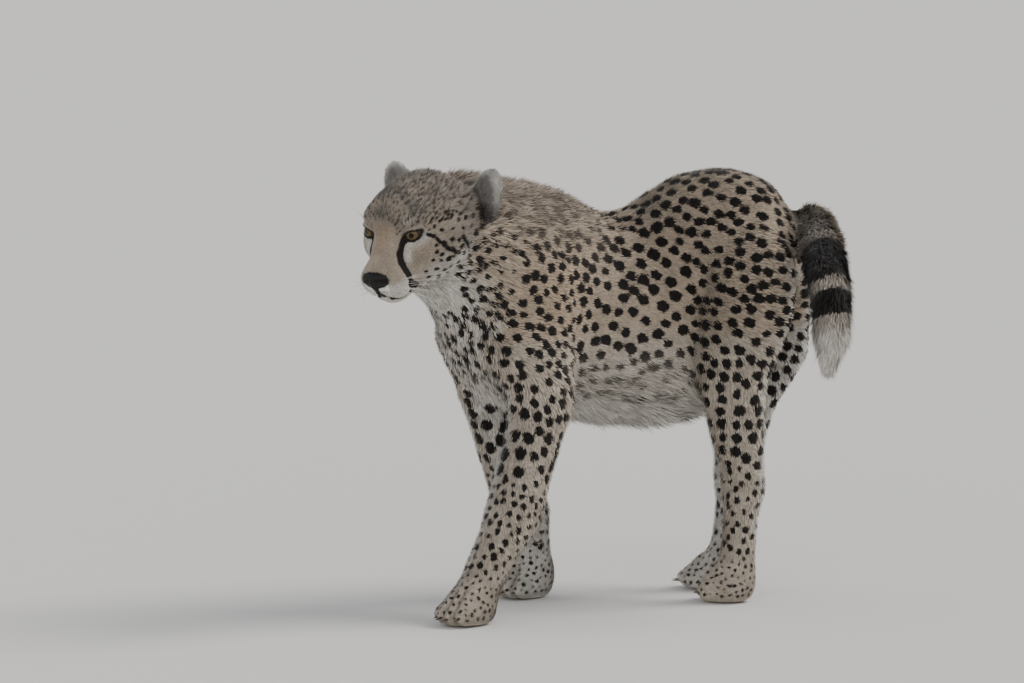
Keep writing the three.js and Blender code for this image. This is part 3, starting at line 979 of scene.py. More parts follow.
def lieOfHair():
    # The way the hair lies at each point.
    down = np.array((0.0, 0.0, -1.0))
    lie = backDirection + 0.28 * down
    legShare = ramp(0.43 - points[:, 2], 0, 0.13) * isLeg
    lie = lie * (1 - legShare[:, None]) + (0.18 * backDirection + down) * legShare[:, None]
    foot = isLeg & (points[:, 2] < 0.06)
    lie[foot] = (0.5 * down - 0.9 * backDirection)[foot]
    breast = inFront * ramp(facing, 0.2, 0.8)
    lie = lie * (1 - breast[:, None]) + (0.1 * backDirection + down) * breast[:, None]
    headLie = local - np.array((112, 0, -40))
    headLie[:, 2] -= 6
    lie[isHead] = unit(headLie[isHead]) @ headTurn
    for side in (1, -1):
        here = isEar & (np.sign(local[:, 1]) == side)
        lie[here] = np.array((side * 0.3, 0.1, 1.0))
    for node in earNodes:
        away = np.linalg.norm(points - nearestOf(points, node), axis=1) / mm
        share = (isHead * ramp(22 - away, 0, 14))[:, None]
        lie = unit(lie) * (1 - share) + unit(middle(node) - points) * share
    direction = np.gradient(tailMiddle, axis=0)
    steps = np.concatenate([[0], np.cumsum(np.linalg.norm(np.diff(tailMiddle, axis=0), axis=1))])
    along = np.stack([np.interp(tailAlong, steps, direction[:, k]) for k in range(3)], axis=1)
    lie[isTail] = unit(along[isTail])
    lie = spreadOut(unit(lie), edges, 30)
    return flattened(lie, normals)


lie = lieOfHair()
pitch, radius = spotSizes()
spotCentres, spotRadii, chosen = spreadSpots(pitch, radius)
spotLies = lie[chosen]
spotTree = placeTree(spotCentres)
squeeze = spotSqueeze(spotCentres)
spotMesh = meshFrom("spotPlaces", spotCentres, [])
putAttribute(spotMesh, "spotSize", spotRadii)
putAttribute(spotMesh, "spotSqueeze", squeeze)
putAttribute(spotMesh, "spotLie", spotLies, "FLOAT_VECTOR")
spotPlaces = linkObject("spotPlaces", spotMesh)
print("spots", len(spotCentres))


hairPlan = {
    # length, width, sway, lift
    "muzzle": (3.2, 0.75, 0.10, 0.05),
    "cheek": (8.0, 1.0, 0.14, 0.08),
    "crown": (13.0, 1.15, 0.28, 0.10),
    "ear": (8.0, 0.9, 0.35, 0.2),
    "earBase": (17.0, 1.1, 0.40, 0.35),
    "neck": (22.0, 1.6, 0.22, 0.03),
    "nape": (32.0, 1.6, 0.34, 0.05),
    "breast": (18.0, 1.6, 0.18, 0.04),
    "trunk": (13.0, 1.6, 0.14, 0.03),
    "back": (13.0, 1.5, 0.14, 0.03),
    "belly": (36.0, 1.7, 0.32, 0.07),
    "thigh": (13.0, 1.5, 0.13, 0.03),
    "shank": (9.0, 1.2, 0.12, 0.03),
    "foot": (5.0, 0.9, 0.12, 0.03),
    "toeEnd": (1.8, 0.7, 0.10, 0.01),
    "tail": (28.0, 1.7, 0.28, 0.13),
}


def hairMeasures():
    values = np.tile(np.array(hairPlan["trunk"]), (len(points), 1))

    def blend(share, name):
        nonlocal values
        share = np.asarray(share, dtype=float)[:, None]
        values = values * (1 - share) + np.array(hairPlan[name]) * share

    up = normals[:, 2]
    blend(isTrunk * ramp(up, 0.3, 0.8), "back")
    withers = ((names == "chest") | (names == "belly")) * ramp(up, 0.1, 0.7) * ramp(forward, -0.02, 0.18)
    blend(withers * 0.85, "nape")
    blend(isTrunk * ramp(-up, 0.1, 0.7) * ramp(0.42 - points[:, 2], 0, 0.08), "belly")
    blend(isNeck, "neck")
    blend(isNeck * ramp(up, -0.1, 0.6), "nape")
    blend(inFront * ramp(facing, 0.35, 0.8), "breast")
    blend(isNeck * ramp(-up, 0.0, 0.6), "breast")
    blend(isLeg, "thigh")
    blend(isLeg * ramp(0.36 - points[:, 2], 0, 0.16), "shank")
    blend(isLeg * ramp(0.13 - points[:, 2], 0, 0.09), "foot")
    fromClaw = np.min([np.linalg.norm(points - middle(node), axis=1) for node in clawNodes], axis=0) / mm
    toeEnds = isLeg * ramp(15 - fromClaw, 0, 7)
    blend(isTail, "tail")
    blend(isHead, "muzzle")
    blend(isHead * ramp(64 - local[:, 0], 0, 40), "cheek")
    blend(isHead * ramp(20 - local[:, 0], 0, 50), "crown")
    blend(isEar, "ear")
    for node in earNodes:
        away = np.linalg.norm(points - nearestOf(points, node), axis=1) / mm
        blend(isHead * ramp(16 - away, 0, 10), "earBase")
    values = spreadOut(values, edges, 12)
    blend(toeEnds, "toeEnd")
    return values


softPlan = {
    # how far markings blur: 0 crisp, 1 lost in the coat
    "nape": 0.85,
    "lowFlank": 0.7,
    "crown": (0.5, 0.2),
    "ear": 0.9,
    # how far hair at a marking's edge strays over it, in millimetres
    "stray": {"muzzle": 1.0, "face": 1.5, "body": 2.3, "ear": 3.4},
}


def softness():
    nape = inFront * ramp(normals[:, 2], 0.1, 0.7) * ramp(forward, 0.01, 0.16)
    nape = np.clip(nape + isHead * ramp(-local[:, 0], 20, 70) * 0.4, 0, 1)
    even, clumped = softPlan["crown"]
    blur = np.maximum.reduce([
        nape * softPlan["nape"],
        isTrunk * ramp(0.385 - points[:, 2], 0, 0.06) * softPlan["lowFlank"],
        isHead * ramp(local[:, 2], 16, 40) * np.clip(even + clumped * crownClumps, 0, 1),
        isEar * softPlan["ear"]])
    stray = softPlan["stray"]
    ragged = np.where(isHead, stray["muzzle"], stray["body"])
    ragged = np.where(isHead & (local[:, 0] < 45), stray["face"], ragged)
    ragged = np.where(isEar | (isHead & (local[:, 0] < -58)), stray["ear"], ragged)
    return spreadOut(blur, edges, 20), spreadOut(ragged, edges, 8)


hair = hairMeasures()
hairDepth = np.concatenate([coatDepth, np.full(len(points) - len(coatDepth), 1.5)])
hairDepth = np.where(isEar, 1.6, hairDepth)
pale, warm, grey = coatTones()
blur, ragged = softness()
locks = waves(5, 3, edges, len(points)) * 0.6 + waves(6, 14, edges, len(points)) * 0.6
lean = flattened(lie + locks * hair[:, 2:3] * 0.9, normals)
lineEdge = lineEdges(points)
markEdge = np.minimum(lineEdge, spotEdges(points, spotTree, spotCentres, spotRadii, spotLies, squeeze))
for name, values in {
    "markEdge": markEdge, "lineEdge": lineEdge, "pale": pale, "warm": warm, "grey": grey,
    "blur": blur, "ragged": ragged, "earTone": isEar.astype(float), "hairLength": hair[:, 0] * mm,
    "hairWidth": hair[:, 1] * mm, "hairSway": hair[:, 2], "hairLift": hair[:, 3],
    "hairDepth": hairDepth * mm,
}.items():
    putAttribute(skinMesh, name, values)
putAttribute(skinMesh, "lean", lean, "FLOAT_VECTOR")
print("markings and lie of the hair")


coatColours = {
    "tan": (0.45, 0.37, 0.285),
    "orange": (0.47, 0.335, 0.225),
    "greyBrown": (0.27, 0.235, 0.2),
    "white": (0.66, 0.635, 0.585),
    "dark": (0.013, 0.0105, 0.009),
    "earGrey": (0.29, 0.27, 0.255),
}


def addNode(tree, kind, inputs=(), **settings):
    # A node with its settings, and each input given a value or another node's output.
    node = tree.nodes.new(kind)
    for key, value in settings.items():
        setattr(node, key, value)
    for key, value in dict(inputs).items():
        if isinstance(key, int):
            socket = node.inputs[key]
        else:
            socket = [s for s in node.inputs if s.enabled and s.name == key][0]
        if isinstance(value, bpy.types.NodeSocket):
            tree.links.new(value, socket)
        else:
            socket.default_value = value
    return node


def outOf(node, name=None):
    return [s for s in node.outputs if s.enabled and name in (None, s.name)][0]


def newMaterial(name):
    material = bpy.data.materials.new(name)
    material.use_nodes = True
    tree = material.node_tree
    shader = tree.nodes["Principled BSDF"]
    return material, tree, shader


def attributeOf(tree, name):
    return addNode(tree, "ShaderNodeAttribute", attribute_name=name).outputs["Fac"]


def calc(tree, operation, first, second=0.0):
    return addNode(tree, "ShaderNodeMath", {0: first, 1: second}, operation=operation).outputs[0]


def blended(tree, share, first, second, blend="MIX"):
    node = addNode(tree, "ShaderNodeMix", {0: share}, data_type="RGBA", blend_type=blend)
    for socket, value in ((node.inputs[6], first), (node.inputs[7], second)):
        if isinstance(value, bpy.types.NodeSocket):
            tree.links.new(value, socket)
        else:
            socket.default_value = (*value, 1.0)
    return node.outputs[2]


def mapped(tree, value, fromLow, fromHigh, toLow, toHigh, smooth=False):
    return addNode(tree, "ShaderNodeMapRange",
                   {0: value, 1: fromLow, 2: fromHigh, 3: toLow, 4: toHigh},
                   interpolation_type="SMOOTHSTEP" if smooth else "LINEAR").outputs[0]


def noiseOf(tree, scale, detail=3.0, rough=0.5):
    place = addNode(tree, "ShaderNodeTexCoord").outputs["Object"]
    return addNode(tree, "ShaderNodeTexNoise",
                   {"Vector": place, "Scale": scale, "Detail": detail, "Roughness": rough}).outputs["Fac"]


def coatMaterial(name, edgeName, ofHair):
    material, tree, shader = newMaterial(name)
    colours = coatColours
    mottle = noiseOf(tree, 48.0)
    fine = noiseOf(tree, 420.0, 2.0)
    base = blended(tree, attributeOf(tree, "warm"), colours["tan"], colours["orange"])
    base = blended(tree, attributeOf(tree, "grey"), base, colours["greyBrown"])
    base = blended(tree, attributeOf(tree, "earTone"), base, colours["earGrey"])
    paleShare = calc(tree, "MULTIPLY", attributeOf(tree, "pale"),
                     mapped(tree, mottle, 0.25, 0.6, 0.75, 1.0))
    base = blended(tree, paleShare, base, colours["white"])
    light = mapped(tree, mottle, 0.3, 0.7, 0.86, 1.12)
    light = calc(tree, "MULTIPLY", light, mapped(tree, fine, 0.3, 0.7, 0.9, 1.1))
    edge = attributeOf(tree, edgeName)
    blurShare = attributeOf(tree, "blur")
    ragged = attributeOf(tree, "ragged")
    wander = mapped(tree, noiseOf(tree, 120.0, 2.0), 0.3, 0.7, -0.6, 0.6)
    edge = calc(tree, "ADD", edge, calc(tree, "MULTIPLY", wander, ragged))
    if ofHair:
        shade = attributeOf(tree, "shade")
        light = calc(tree, "MULTIPLY", light, mapped(tree, shade, 0.0, 1.0, 0.74, 1.2))
        light = calc(tree, "MULTIPLY", light,
                     mapped(tree, attributeOf(tree, "along"), 0.0, 0.7, 0.6, 1.06))
        spreadBy = calc(tree, "ADD", calc(tree, "MULTIPLY", blurShare, 5.0), ragged)
        edge = calc(tree, "ADD", edge, calc(tree, "MULTIPLY", calc(tree, "SUBTRACT", shade, 0.5), spreadBy))
        ticked = calc(tree, "MULTIPLY", mapped(tree, shade, 0.6, 1.0, 0.0, 0.35), blurShare)
        light = calc(tree, "MULTIPLY", light, calc(tree, "SUBTRACT", 1.0, ticked))
    soft = calc(tree, "ADD", calc(tree, "MULTIPLY", blurShare, 2.2), 0.9)
    mask = addNode(tree, "ShaderNodeMapRange",
                   {0: edge, 1: calc(tree, "MULTIPLY", soft, -1.0), 2: soft, 3: 1.0, 4: 0.0},
                   interpolation_type="SMOOTHSTEP").outputs[0]
    mask = calc(tree, "MULTIPLY", mask, mapped(tree, blurShare, 0.0, 1.0, 1.0, 0.6))
    grey = addNode(tree, "ShaderNodeCombineColor", {0: light, 1: light, 2: light}).outputs[0]
    base = blended(tree, 1.0, base, grey, "MULTIPLY")
    base = blended(tree, mask, base, colours["dark"])
    tree.links.new(base, shader.inputs["Base Color"])
    shader.inputs["Roughness"].default_value = 0.62
    shader.inputs["Specular IOR Level"].default_value = 0.22
    shader.inputs["Sheen Weight"].default_value = 0.12
    shader.inputs["Sheen Roughness"].default_value = 0.45
    if not ofHair:
        shader.inputs["Roughness"].default_value = 0.8
        bump = addNode(tree, "ShaderNodeBump", {"Strength": 0.5, "Distance": 0.001,
                                                "Height": noiseOf(tree, 900.0, 4.0, 0.6)})
        tree.links.new(bump.outputs[0], shader.inputs["Normal"])
    return material


skinMaterial = coatMaterial("shortUndercoat", "markEdge", False)
hairMaterial = coatMaterial("spottedHair", "coatEdge", True)


def layOut(thing):
    # The unwrap of the skin's own shape, which the tufts share.
    bpy.context.view_layer.objects.active = thing
    thing.select_set(True)
    bpy.ops.object.mode_set(mode="EDIT")
    bpy.ops.mesh.select_all(action="SELECT")
    bpy.ops.uv.smart_project(angle_limit=1.15, island_margin=0.002, scale_to_bounds=False)
    bpy.ops.object.mode_set(mode="OBJECT")
    thing.select_set(False)
    thing.data.uv_layers.active.name = "OFBake"


skin = linkObject("skin", skinMesh)
skinMesh.shade_smooth()
skinMesh.materials.append(skinMaterial)
layOut(skin)
print("skin", sum(len(p.vertices) - 2 for p in skinMesh.polygons), "triangles")


def makeBlade(name, rows):
    # One tuft lying along +Y: rows of place along, half width and height, then the tip.
    corners, faces = [], []
    for along, half, height in rows:
        corners += [(-half, along, height), (half, along, height)]
    for row in range(len(rows) - 1):
        a = row * 2
        faces.append((a, a + 1, a + 3, a + 2))
    last = len(corners) - 2
    corners.append((0.06, 1.0, 1.0))
    faces.append((last, last + 1, last + 2))
    mesh = meshFrom(name, corners, faces)
    mesh.shade_smooth()
    putAttribute(mesh, "along", [c[1] for c in corners])
    putAttribute(mesh, "patch", [(c[0], c[1] - 0.5, 0.0) for c in corners], "FLOAT_VECTOR")
    return linkObject(name, mesh)


def furTree():
    tree = bpy.data.node_groups.new("tuftsOverSkin", "GeometryNodeTree")
    face = tree.interface
    face.new_socket("Skin", in_out="INPUT", socket_type="NodeSocketGeometry")
    for name, kind, value in (
            ("Blade", "NodeSocketObject", None), ("Spots", "NodeSocketObject", None),
            ("Share", "NodeSocketString", ""),
            ("Per Square Metre", "NodeSocketFloat", 1e5), ("Seed", "NodeSocketInt", 1),
            ("Patch", "NodeSocketFloat", 0.003), ("Lowest", "NodeSocketFloat", 0.4),
            ("Highest", "NodeSocketFloat", 1.0), ("Material", "NodeSocketMaterial", None)):
        socket = face.new_socket(name, in_out="INPUT", socket_type=kind)
        if value is not None:
            socket.default_value = value
    face.new_socket("Coat", in_out="OUTPUT", socket_type="NodeSocketGeometry")
    given = tree.nodes.new("NodeGroupInput").outputs

    def named(name, kind="FLOAT"):
        node = addNode(tree, "GeometryNodeInputNamedAttribute", {"Name": name}, data_type=kind)
        return outOf(node, "Attribute")

    def chance(low, high, seed, kind="FLOAT"):
        mixed = outOf(addNode(tree, "ShaderNodeMath", {0: given["Seed"], 1: float(seed)}, operation="ADD"))
        return outOf(addNode(tree, "FunctionNodeRandomValue", {"Min": low, "Max": high, "Seed": mixed},
                             data_type=kind))

    def maths(operation, a, b):
        return outOf(addNode(tree, "ShaderNodeMath", {0: a, 1: b}, operation=operation))

    def vectors(operation, a, b):
        return outOf(addNode(tree, "ShaderNodeVectorMath", {0: a, 1: b}, operation=operation))

    def scaled(vector, factor):
        node = addNode(tree, "ShaderNodeVectorMath", {"Vector": vector, "Scale": factor}, operation="SCALE")
        return outOf(node)

    def summed(a, b):
        return vectors("ADD", a, b)

    def keep(geometry, name, value, kind="FLOAT", domain="POINT"):
        return addNode(tree, "GeometryNodeStoreNamedAttribute",
                       {"Geometry": geometry, "Name": name, "Value": value},
                       data_type=kind, domain=domain).outputs[0]

    density = maths("MULTIPLY", named(given["Share"]), given["Per Square Metre"])
    spread = addNode(tree, "GeometryNodeDistributePointsOnFaces",
                     {"Mesh": given["Skin"], "Density": density, "Seed": given["Seed"]},
                     distribute_method="RANDOM")
    normal = spread.outputs["Normal"]
    roots = keep(spread.outputs["Points"], "shade", chance(0.0, 1.0, 1))
    roots = keep(roots, "rootPlace", named("OFBake", "FLOAT_VECTOR"), "FLOAT_VECTOR")
    sway = scaled(chance((-1.0, -1.0, -1.0), (1.0, 1.0, 1.0), 2, "FLOAT_VECTOR"), named("hairSway"))
    lift = scaled(normal, maths("MULTIPLY", named("hairLift"), chance(0.2, 1.6, 3)))
    way = summed(summed(named("lean", "FLOAT_VECTOR"), sway), lift)
    turn = addNode(tree, "FunctionNodeAxesToRotation", {"Primary Axis": way, "Secondary Axis": normal},
                   primary_axis="Y", secondary_axis="Z")
    size = addNode(tree, "ShaderNodeCombineXYZ", {
        0: maths("MULTIPLY", named("hairWidth"), chance(0.65, 1.25, 4)),
        1: maths("MULTIPLY", named("hairLength"), chance(0.62, 1.15, 5)),
        2: maths("MULTIPLY", named("hairDepth"), chance(given["Lowest"], given["Highest"], 6))})
    blade = addNode(tree, "GeometryNodeObjectInfo", {"Object": given["Blade"]})
    placed = addNode(tree, "GeometryNodeInstanceOnPoints", {
        "Points": roots, "Instance": blade.outputs["Geometry"],
        "Rotation": turn.outputs[0], "Scale": size.outputs[0]})
    tufts = addNode(tree, "GeometryNodeRealizeInstances", {"Geometry": placed.outputs[0]}).outputs[0]
    # Each corner of a tuft is marked as the skin under it is.
    place = addNode(tree, "GeometryNodeInputPosition").outputs[0]

    def below(value, kind):
        return outOf(addNode(tree, "GeometryNodeSampleNearestSurface",
                             {"Mesh": given["Skin"], "Value": value}, data_type=kind), "Value")

    spots = addNode(tree, "GeometryNodeObjectInfo", {"Object": given["Spots"]}).outputs["Geometry"]
    root = below(place, "FLOAT_VECTOR")
    nearest = addNode(tree, "GeometryNodeSampleNearest",
                      {"Geometry": spots, "Sample Position": root}).outputs[0]

    def ofSpot(value, kind="FLOAT"):
        return outOf(addNode(tree, "GeometryNodeSampleIndex",
                             {"Geometry": spots, "Value": value, "Index": nearest}, data_type=kind))

    def dotted(a, b):
        return outOf(addNode(tree, "ShaderNodeVectorMath", {0: a, 1: b}, operation="DOT_PRODUCT"), "Value")

    away = scaled(vectors("SUBTRACT", root, ofSpot(place, "FLOAT_VECTOR")), 1000.0)      # millimetres
    run = dotted(away, ofSpot(named("spotLie", "FLOAT_VECTOR"), "FLOAT_VECTOR"))
    drawnOut = maths("MULTIPLY", maths("MULTIPLY", run, run), ofSpot(named("spotSqueeze")))
    reach = maths("SQRT", maths("MAXIMUM", maths("SUBTRACT", dotted(away, away), drawnOut), 0.0), 0.0)
    spotEdge = maths("SUBTRACT", reach, ofSpot(named("spotSize")))
    edge = maths("MINIMUM", spotEdge, below(named("lineEdge"), "FLOAT"))
    tufts = keep(tufts, "coatEdge", edge)
    patch = scaled(named("patch", "FLOAT_VECTOR"), given["Patch"])
    patch = summed(named("rootPlace", "FLOAT_VECTOR"), patch)
    tufts = keep(tufts, "OFBake", patch, "FLOAT2", "CORNER")
    painted = addNode(tree, "GeometryNodeSetMaterial", {"Geometry": tufts, "Material": given["Material"]})
    out = tree.nodes.new("NodeGroupOutput")
    tree.links.new(painted.outputs[0], out.inputs["Coat"])
    return tree


shortBlade = makeBlade("shortBlade", [(0.0, 0.42, -0.12), (0.52, 0.5, 0.76)])
longBlade = makeBlade("longBlade", [(0.0, 0.4, -0.08), (0.44, 0.5, 0.84)])
tuftTree = furTree()
coatPlan = {
    # piece: tufts, blade, seed, slot
    "coat_head": (62000, shortBlade, 21, "coat"),
    "coat_ears": (26000, shortBlade, 22, "ear_coat"),
    "coat_mane": (63000, longBlade, 23, "coat"),
    "coat_flank_left": (63000, shortBlade, 24, "coat"),
    "coat_flank_right": (63000, shortBlade, 25, "coat"),
    "coat_belly": (50000, longBlade, 26, "coat"),
    "coat_forelegs": (60000, shortBlade, 27, "coat"),
    "coat_hindlegs": (60000, shortBlade, 28, "coat"),
    "coat_tail": (46000, longBlade, 29, "coat"),
}


def coatRegions():
    # Which piece of the coat covers each point, and how close its tufts stand there.
    belly = isTrunk & (normals[:, 2] < -0.25) & (points[:, 2] < 0.38)
    mane = isNeck | ((names == "chest") & ((facing > 0.45) | (forward > 0.232)))
    mane |= (names == "chest") & (normals[:, 2] > 0.35)
    left = leftward > 0
    flank = isTrunk & ~belly & ~mane
    nearFace = 1 + 2.2 * ramp(local[:, 0], 20, 90) * isHead
    toFoot = 1 + 1.6 * ramp(0.14 - points[:, 2], 0, 0.1)
    return {
        "coat_head": isHead * nearFace,
        "coat_ears": isEar * 1.0,
        "coat_mane": mane & ~belly,
        "coat_flank_left": flank & left,
        "coat_flank_right": flank & ~left,
        "coat_belly": belly,
        "coat_forelegs": isFore * toFoot,
        "coat_hindlegs": (isLeg & ~isFore) * toFoot,
        "coat_tail": isTail * 1.0,
    }


def bareness(local):
    # Skin that carries no hair: the lids' rims, the lips' line, the nose's bed, the soles.
    bare = np.zeros(len(local), bool)
    for side in (1, -1):
        bare |= isHead & (eyeDistance(local, side) < 1.6)
    for line in faceLines["mouth"]:
        bare |= isHead & (lineDistance(local, line)[0] < 2.8)
    low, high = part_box("nose")
    centre, half = (np.array(low) + high) / 2, (np.array(high) - low) / 2
    bare |= (np.abs((points - centre) / half) < 0.86).all(1)
    bare |= points[:, 2] < 0.006
    return bare


def pointAreas(mesh):
    areas = np.zeros(len(mesh.vertices))
    for polygon in mesh.polygons:
        share = polygon.area / len(polygon.vertices)
        for corner in polygon.vertices:
            areas[corner] += share
    return areas


def makeCoat(name, share, areas, skinShown):
    tufts, blade, seed, slot = coatPlan[name]
    share = np.asarray(share, dtype=float) * ~skinShown
    putAttribute(skinMesh, "share", share)
    fur = skin.modifiers.new("fur", "NODES")
    fur.node_group = tuftTree
    values = {"Blade": blade, "Spots": spotPlaces, "Share": "share", "Seed": seed,
              "Per Square Metre": tufts / (share * areas).sum(), "Material": hairMaterial}
    for socket in tuftTree.interface.items_tree:
        if socket.name in values:
            fur[socket.identifier] = values[socket.name]
    mesh = bpy.data.meshes.new_from_object(
        skin.evaluated_get(bpy.context.evaluated_depsgraph_get()))
    skin.modifiers.remove(fur)
    mesh.name = name
    kept = ("coatEdge", "pale", "warm", "grey", "blur", "ragged", "earTone", "shade", "along", "OFBake")
    for extra in [a.name for a in mesh.attributes if a.name not in kept]:
        if not (mesh.attributes[extra].is_internal or mesh.attributes[extra].is_required):
            mesh.attributes.remove(mesh.attributes[extra])
    mesh.materials.clear()
    mesh.materials.append(hairMaterial)
    piece = linkObject(name, mesh)
    print(name, sum(len(p.vertices) - 2 for p in mesh.polygons), "triangles")
    return piece, slot


skinShown = bareness(local)
areas = pointAreas(skinMesh)
coatPieces = [makeCoat(name, share, areas, skinShown) for name, share in coatRegions().items()]
for helper in (shortBlade, longBlade, spotPlaces):
    bpy.data.objects.remove(helper)
for name in ("share", "lineEdge", "hairLength", "hairWidth", "hairSway", "hairLift", "hairDepth", "lean"):
    skinMesh.attributes.remove(skinMesh.attributes[name])


eyePlan = {
    "radius": lidPlan["radius"],
    "bulge": 1.0,
    "iris": 10.4,
    "pupil": 3.6,
    "lookUp": 2.0,
    "amber": (0.17, 0.125, 0.06),
    "amberDeep": (0.05, 0.03, 0.012),
    "irisEdge": (0.02, 0.012, 0.008),
    "white": (0.04, 0.03, 0.025),
    "black": (0.002, 0.002, 0.002),
}


def eyeMaterial():
    material, tree, shader = newMaterial("eyeball")
    reach = attributeOf(tree, "fromPupil")
    rays = addNode(tree, "ShaderNodeTexNoise", {"Scale": 9.0, "Detail": 3.0}, noise_dimensions="2D")
    tree.links.new(addNode(tree, "ShaderNodeAttribute", attribute_name="irisRay").outputs["Vector"],
                   rays.inputs["Vector"])
    iris = blended(tree, mapped(tree, rays.outputs["Fac"], 0.35, 0.65, 0.0, 1.0),
                   eyePlan["amberDeep"], eyePlan["amber"])
    edge, pupil = eyePlan["iris"], eyePlan["pupil"]
    iris = blended(tree, mapped(tree, reach, edge - 2.4, edge, 0.0, 1.0, True), iris, eyePlan["irisEdge"])
    ball = blended(tree, mapped(tree, reach, edge - 0.3, edge + 0.5, 0.0, 1.0, True), iris, eyePlan["white"])
    ball = blended(tree, mapped(tree, reach, pupil - 0.35, pupil + 0.35, 1.0, 0.0, True),
                   ball, eyePlan["black"])
    tree.links.new(ball, shader.inputs["Base Color"])
    shader.inputs["Roughness"].default_value = 0.25
    shader.inputs["Specular IOR Level"].default_value = 0.15
    shader.inputs["Coat Weight"].default_value = 0.12
    shader.inputs["Coat Roughness"].default_value = 0.02
    return material


def makeEye(side, material):
    plan = eyePlan
    gaze, outward, upward = eyeAxes(side)
    raised = math.radians(plan["lookUp"])
    gaze = math.cos(raised) * gaze + math.sin(raised) * np.array((0, 0, 1))
    across = unit(np.cross(np.array((0, 0, 1.0)), gaze))
    over = np.cross(gaze, across)
    centre = eyeMiddle(side)
    rings, around = 36, 48
    corners, faces, reach, rays = [], [], [], []
    for ring in range(rings + 1):
        # Rings lie close together at the front, where the iris is.
        polar = math.pi * (ring / rings) ** 1.35
        radius = plan["radius"] + plan["bulge"] * max(0.0, 1 - (polar / 0.62) ** 2)
        for step in range(around if 0 < ring < rings else 1):
            turn = 2 * math.pi * step / around
            plane = np.array((math.cos(turn), math.sin(turn))) * math.sin(polar)
            corners.append(centre + radius * (gaze * math.cos(polar) + across * plane[0] + over * plane[1]))
            reach.append(plan["radius"] * polar)
            rays.append((math.cos(turn) * 2.4, math.sin(turn) * 2.4, polar))
    for step in range(around):
        after = (step + 1) % around
        faces.append((0, 1 + step, 1 + after))
        for ring in range(rings - 2):
            a, b = 1 + ring * around, 1 + (ring + 1) * around
            faces.append((a + step, b + step, b + after, a + after))
        last = 1 + (rings - 2) * around
        faces.append((last + step, len(corners) - 1, last + after))
    mesh = meshFrom("eyeball", fromHead(corners), faces)
    facedOutward(mesh)
    mesh.shade_smooth()
    putAttribute(mesh, "fromPupil", reach)
    putAttribute(mesh, "irisRay", rays, "FLOAT_VECTOR")
    mesh.materials.append(material)
    return linkObject("eyeball_left" if side > 0 else "eyeball_right", mesh)


eyeFinish = eyeMaterial()
eyes = {"eye_left": makeEye(1, eyeFinish), "eye_right": makeEye(-1, eyeFinish)}
print("eyes")


nosePlan = {
    "voxel": 0.0009,
    "nostril": [(112, 7, -41), (108, 13, -40.5), (101, 19, -43)],
    "nostrilReach": 2.3,
    "nostrilDepth": 2.4,
    "cleft": [(114, 0, -40), (110, 0, -49), (104, 0, -56)],
    "cleftReach": 0.9,
    "cleftDepth": 1.3,
    "colour": (0.010, 0.008, 0.008),
}


def noseMaterial():
    material, tree, shader = newMaterial("noseLeather")
    place = addNode(tree, "ShaderNodeTexCoord").outputs["Object"]
    cells = addNode(tree, "ShaderNodeTexVoronoi", {"Vector": place, "Scale": 900.0},
                    feature="DISTANCE_TO_EDGE")
    grain = mapped(tree, cells.outputs["Distance"], 0.0, 0.35, 0.0, 1.0)
    colour = blended(tree, grain, (0.004, 0.003, 0.003), nosePlan["colour"])
    tree.links.new(colour, shader.inputs["Base Color"])
    tree.links.new(mapped(tree, grain, 0.0, 1.0, 0.6, 0.42), shader.inputs["Roughness"])
    shader.inputs["Specular IOR Level"].default_value = 0.3
    bump = addNode(tree, "ShaderNodeBump", {"Strength": 0.6, "Distance": 0.0005, "Height": grain})
    tree.links.new(bump.outputs[0], shader.inputs["Normal"])
    return material


def makeNose():
    plan = nosePlan
    mesh = remeshed(joinedCopy(["nose"], 0.0004), plan["voxel"])
    movePoints(mesh, spreadOut(pointsOf(mesh), edgesOf(mesh), 10))
    points = pointsOf(mesh)
    tree = treeOf(mesh)
    local = inHead(points)
    sunk = np.zeros(len(points))
    for name in ("nostril", "cleft"):
        for line in bothSides(plan[name]):
            away, _ = lineDistance(local, laidOn(tree, line, 1.0))
            groove = plan[name + "Depth"] * bell(away, plan[name + "Reach"])
            sunk = np.maximum(sunk, groove)
    normals = normalsOf(mesh)
    movePoints(mesh, points - normals * (sunk * mm)[:, None])
    mesh.shade_smooth()
    mesh.materials.append(noseMaterial())
    return linkObject("nose_pad", mesh)


nose = makeNose()
print("nose", len(nose.data.polygons), "faces")


whiskerPlan = {
    "rows": 4,
    "perRow": 5,
    "first": (96, 16, -48),
    "back": 6.0,       # from one whisker to the next in a row
    "down": 4.6,       # from one row to the next
    "length": (34.0, 64.0),
    "overEye": 4,
    "browLength": (18, 30),
    "radius": 0.42,
    "segments": 6,
    "seed": 3,
    "colour": (0.78, 0.76, 0.72),
}


